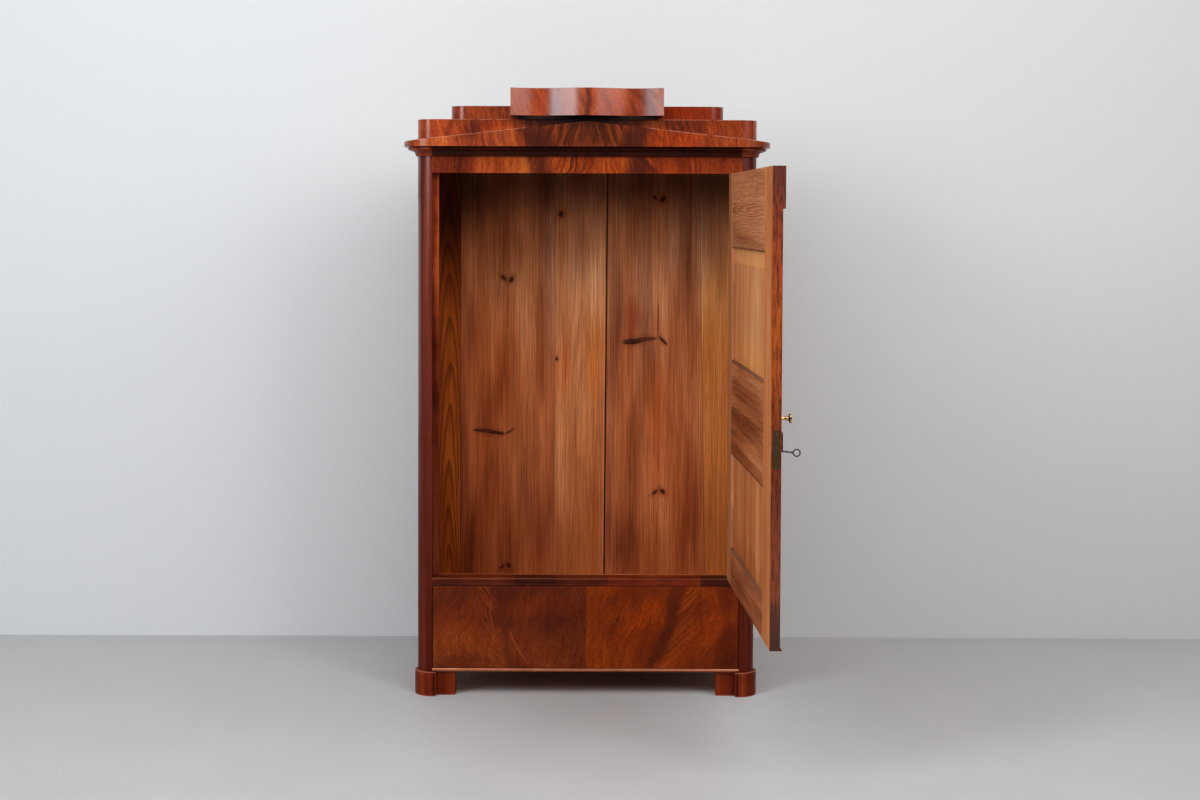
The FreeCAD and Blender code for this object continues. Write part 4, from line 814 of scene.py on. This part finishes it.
# The cleat is near black: a dark stain, and painted shade under the crown's overhang
dress(mahoganyFinish, {
    "cleatStain": {
        "on": "crown_cleat", "grain": "xzy", "seed": 61.0, "coat": 0.2, "roughness": 0.7,
        "tones": tones((12, 7, 6), (18, 10, 8), (26, 14, 10), (34, 19, 13), (44, 25, 17)),
    },
})
print("metals done")


def linked(name, points, faces, material):   # a mesh in the scene
    mesh = bpy.data.meshes.new(name)
    mesh.from_pydata(points, [], faces)
    mesh.materials.append(material)
    made = bpy.data.objects.new(name, mesh)
    bpy.context.scene.collection.objects.link(made)
    return made


# Screws. A square grid is pressed into a disc by x = u sqrt(1 - v*v/2), y = v sqrt(1 - u*u/2). Its height is a low
# dome, less the slot where |v| is small, and a second, flat disc under it closes the head. Each set has its body,
# its material slot and its heads, each with the centre when the door is shut, the way it faces and its turn.
screwHeads = {
    "radius": 0.0032, "dome": 0.0006, "slotHalf": 0.15, "slope": 0.03, "slotDepth": 0.0005, "ring": 0.2, "rings": 6,
    "sink": 0.0004, "lift": 0.00015, "under": 0.7, "sharpOver": 35,
    "sets": {
        "lock_plate": ("door", "steel", [
            ((-0.5295, -0.265, 1.0415), (-1, 0, 0), 0.4), ((-0.5295, -0.265, 0.9465), (-1, 0, 0), 1.2)]),
        "strike": ("case", "iron", [
            ((-0.531, -0.265, 1.017), (1, 0, 0), 0.9), ((-0.531, -0.265, 0.971), (1, 0, 0), 0.2)]),
        "case_pivot": ("case", "iron", [
            ((0.477, -0.268, 1.81), (0, 0, -1), 0.3), ((0.5007, -0.268, 1.81), (0, 0, -1), 1.0),
            ((0.477, -0.268, 0.411), (0, 0, 1), 0.7), ((0.5007, -0.268, 0.411), (0, 0, 1), 1.3)]),
        "door_pivot": ("door", "iron", [
            ((0.477, -0.268, 1.8085), (0, 0, 1), 0.5), ((0.5007, -0.268, 1.8085), (0, 0, 1), 1.4),
            ((0.477, -0.268, 0.4125), (0, 0, -1), 0.1), ((0.5007, -0.268, 0.4125), (0, 0, -1), 0.8)]),
    },
}


def opened(points):   # from the closed door's place to the open one that the frame has at rest
    hinge = np.array([hingeX, hingeY, 0.0])
    return (points - hinge) @ np.array([[cosine, -sine, 0.0], [sine, cosine, 0.0], [0.0, 0.0, 1.0]]) + hinge


def screwHead(settings, centre, facing, turn):
    outer = np.linspace(settings["ring"], 1, settings["rings"])
    slotHalf, slotFoot = settings["slotHalf"], settings["slotHalf"] - settings["slope"]
    steps = np.concatenate([-outer[::-1], [-slotHalf, -slotFoot, 0.0, slotFoot, slotHalf], outer])
    u, v = np.meshgrid(steps, steps, indexing="ij")
    discX = u * np.sqrt(1 - v * v / 2)
    discY = v * np.sqrt(1 - u * u / 2)
    height = settings["dome"] * (1 - discX ** 2 - discY ** 2)
    height = height - settings["slotDepth"] * (np.abs(v) < (slotHalf + slotFoot) / 2)
    across = np.stack([discX * settings["radius"], discY * settings["radius"]], axis=-1)
    top = np.concatenate([across, (height + settings["lift"])[..., None]], axis=-1)
    sunk = np.full_like(height, -settings["sink"])
    under = np.concatenate([across * settings["under"], sunk[..., None]], axis=-1)
    axis = np.array(facing, float)
    side = np.array([0.0, 0.0, 1.0]) if abs(axis[2]) < 0.5 else np.array([0.0, 1.0, 0.0])
    first = math.cos(turn) * side + math.sin(turn) * np.cross(axis, side)
    second = np.cross(axis, first)
    points = np.stack([top, under]).reshape(-1, 3) @ np.stack([first, second, axis])
    count = len(steps)
    index = np.arange(count * count).reshape(count, count)
    quads = np.stack([index[:-1, :-1], index[1:, :-1], index[1:, 1:], index[:-1, 1:]], axis=-1).reshape(-1, 4)
    rim = np.concatenate([index[:, 0], index[-1, 1:], index[-2::-1, -1], index[0, -2:0:-1]])
    nextRim = np.roll(rim, -1)
    below = count * count
    wall = np.stack([rim, rim + below, nextRim + below, nextRim], axis=-1)
    faces = np.concatenate([quads, quads[:, ::-1] + below, wall])
    return points + np.array(centre), faces


screwMaterials = {"steel": nodes["key"].data.materials[0], "iron": nodes["strike_plate"].data.materials[0]}
for setName, (body, slotName, heads) in screwHeads["sets"].items():
    built = [screwHead(screwHeads, *head) for head in heads]
    points = np.concatenate([part[0] for part in built])
    if body == "door":
        points = opened(points)
    step = len(built[0][0])
    faces = np.concatenate([part[1] + step * order for order, part in enumerate(built)]).tolist()
    piece = linked(setName + "_screws", points.tolist(), faces, screwMaterials[slotName])
    for polygon in piece.data.polygons:
        polygon.use_smooth = True
    piece.data.set_sharp_from_angle(angle=math.radians(screwHeads["sharpOver"]))
    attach(piece, body)
print("screws done")


# The stage: a plain floor and wall, both quads. The floor has a faint mottle, and the wall a painted shade,
# darker to the right and upward. The wall is clear from behind, so that the back of the wardrobe can be seen.
stage = {
    "wallY": 0.62, "half": 9.0, "height": 7.0, "floorTone": tone(189, 188, 188), "wallTone": tone(223, 225, 226),
    "wallShade": 0.93, "wallFallX": 0.03, "wallFallZ": 0.02, "wallMiddle": 1.5, "floorShade": 0.97,
    "floorMottle": 0.16, "floorSpeck": 0.12,
}
floorFinish = Finish("floorFinish", {"Roughness": 0.7, "Specular IOR Level": 0.3})
x, y, z = floorFinish.place()
mottle = floorFinish.noise(x * 2.2, y * 2.2, z, detail=6, roughness=0.6)
speck = floorFinish.noise(x * 60, y * 60, z, detail=3, roughness=0.7)
floorShade = (mottle - 0.5) * stage["floorMottle"] + (speck - 0.5) * stage["floorSpeck"] + stage["floorShade"]
floorColour = floorFinish.mix(1.0, stage["floorTone"], floorShade, "MULTIPLY")
floorFinish.feed({"Base Color": floorColour, "Roughness": 0.62 + (mottle - 0.5) * 0.4})
wallFinish = Finish("wallFinish", {"Roughness": 0.9, "Specular IOR Level": 0.1})
x, y, z = wallFinish.place()
# Painted shade on the wall: darker to the right and upward
wallShade = stage["wallShade"] - x * stage["wallFallX"] - (z - stage["wallMiddle"]) * stage["wallFallZ"]
wallFinish.feed({"Base Color": wallFinish.mix(1.0, stage["wallTone"], wallShade, "MULTIPLY")})
fromBehind = wallFinish.add("ShaderNodeNewGeometry", output="Backfacing")
clear = wallFinish.add("ShaderNodeBsdfTransparent")
seen = Wire(wallFinish, wallFinish.shader.outputs[0])
oneSided = wallFinish.add("ShaderNodeMixShader", None, [fromBehind, seen, clear])
wallFinish.tree.links.new(oneSided.socket, wallFinish.tree.nodes["Material Output"].inputs["Surface"])
half, rear, top = stage["half"], stage["wallY"], stage["height"]
planes = {   # corners, material
    "floor": ([(-half, -half, 0), (half, -half, 0), (half, half, 0), (-half, half, 0)], floorFinish.material),
    "wall": ([(-half, rear, 0), (half, rear, 0), (half, rear, top), (-half, rear, top)], wallFinish.material),
}
for planeName, (corners, material) in planes.items():
    plane = linked(planeName, corners, [(0, 1, 2, 3)], material)

# Soft lamps: a tall one from the left, a dimmer one from the right, a wide one high in front
lamps = {
    "leftWindow": {
        "at": (-3.05, -3.6, 3.35), "to": (0.0, 0.0, 2.2), "size": (1.7, 2.6), "power": 116.0,
        "colour": (0.89, 0.94, 1.0),
    },
    "rightFill": {
        "at": (3.2, -3.4, 3.7), "to": (0.0, 0.0, 1.4), "size": (3.0, 2.8), "power": 108.0,
        "colour": (1.0, 0.985, 0.97),
    },
    "frontTop": {
        "at": (0.0, -3.2, 4.6), "to": (0.0, 0.0, 1.0), "size": (5.0, 2.6), "power": 135.0,
        "colour": (1.0, 0.99, 0.98),
    },
}

for lampName, lamp in lamps.items():
    data = bpy.data.lights.new(lampName, "AREA")
    data.shape = "RECTANGLE"
    data.size, data.size_y = lamp["size"]
    data.energy = lamp["power"]
    data.color = lamp["colour"]
    placed = bpy.data.objects.new(lampName, data)
    placed.location = lamp["at"]
    placed.rotation_euler = (Vector(lamp["to"]) - Vector(lamp["at"])).to_track_quat("-Z", "Y").to_euler()
    bpy.context.scene.collection.objects.link(placed)

world = bpy.data.worlds.new("softRoom")
bpy.context.scene.world = world
world.use_nodes = True
roomLight = {"colour": (0.97, 0.98, 1.0, 1.0), "below": 0.05, "rise": 0.15, "fullAt": 0.8}   # brighter upwards
room = Network(world.node_tree, "Background")
toward = room.add("ShaderNodeTexCoord", output="Generated")
upward = room.add("ShaderNodeSeparateXYZ", None, [toward], output=2)
strength = room.smooth(upward, 0.0, roomLight["fullAt"]) * roomLight["rise"] + roomLight["below"]
room.feed({"Color": roomLight["colour"], "Strength": strength})

# The camera stands where the photograph was taken from
view = {
    "at": (0.0458, -6.565, 1.6596), "pitch": 90 - 2.277, "roll": 0.207, "lens": 54.9, "sensor": 36.0,
    "shift": -0.0917,
}
cameraData = bpy.data.cameras.new("camera")
cameraData.sensor_width = view["sensor"]
cameraData.lens = view["lens"]
cameraData.shift_y = view["shift"]
camera = bpy.data.objects.new("camera", cameraData)
camera.location = view["at"]
camera.rotation_mode = "QUATERNION"
pitch = Quaternion((1, 0, 0), math.radians(view["pitch"]))
camera.rotation_quaternion = pitch @ Quaternion((0, 0, 1), math.radians(view["roll"]))
bpy.context.scene.collection.objects.link(camera)
bpy.context.scene.camera = camera
bpy.context.scene.view_settings.view_transform = "Standard"
print("stage, lamps and camera done")
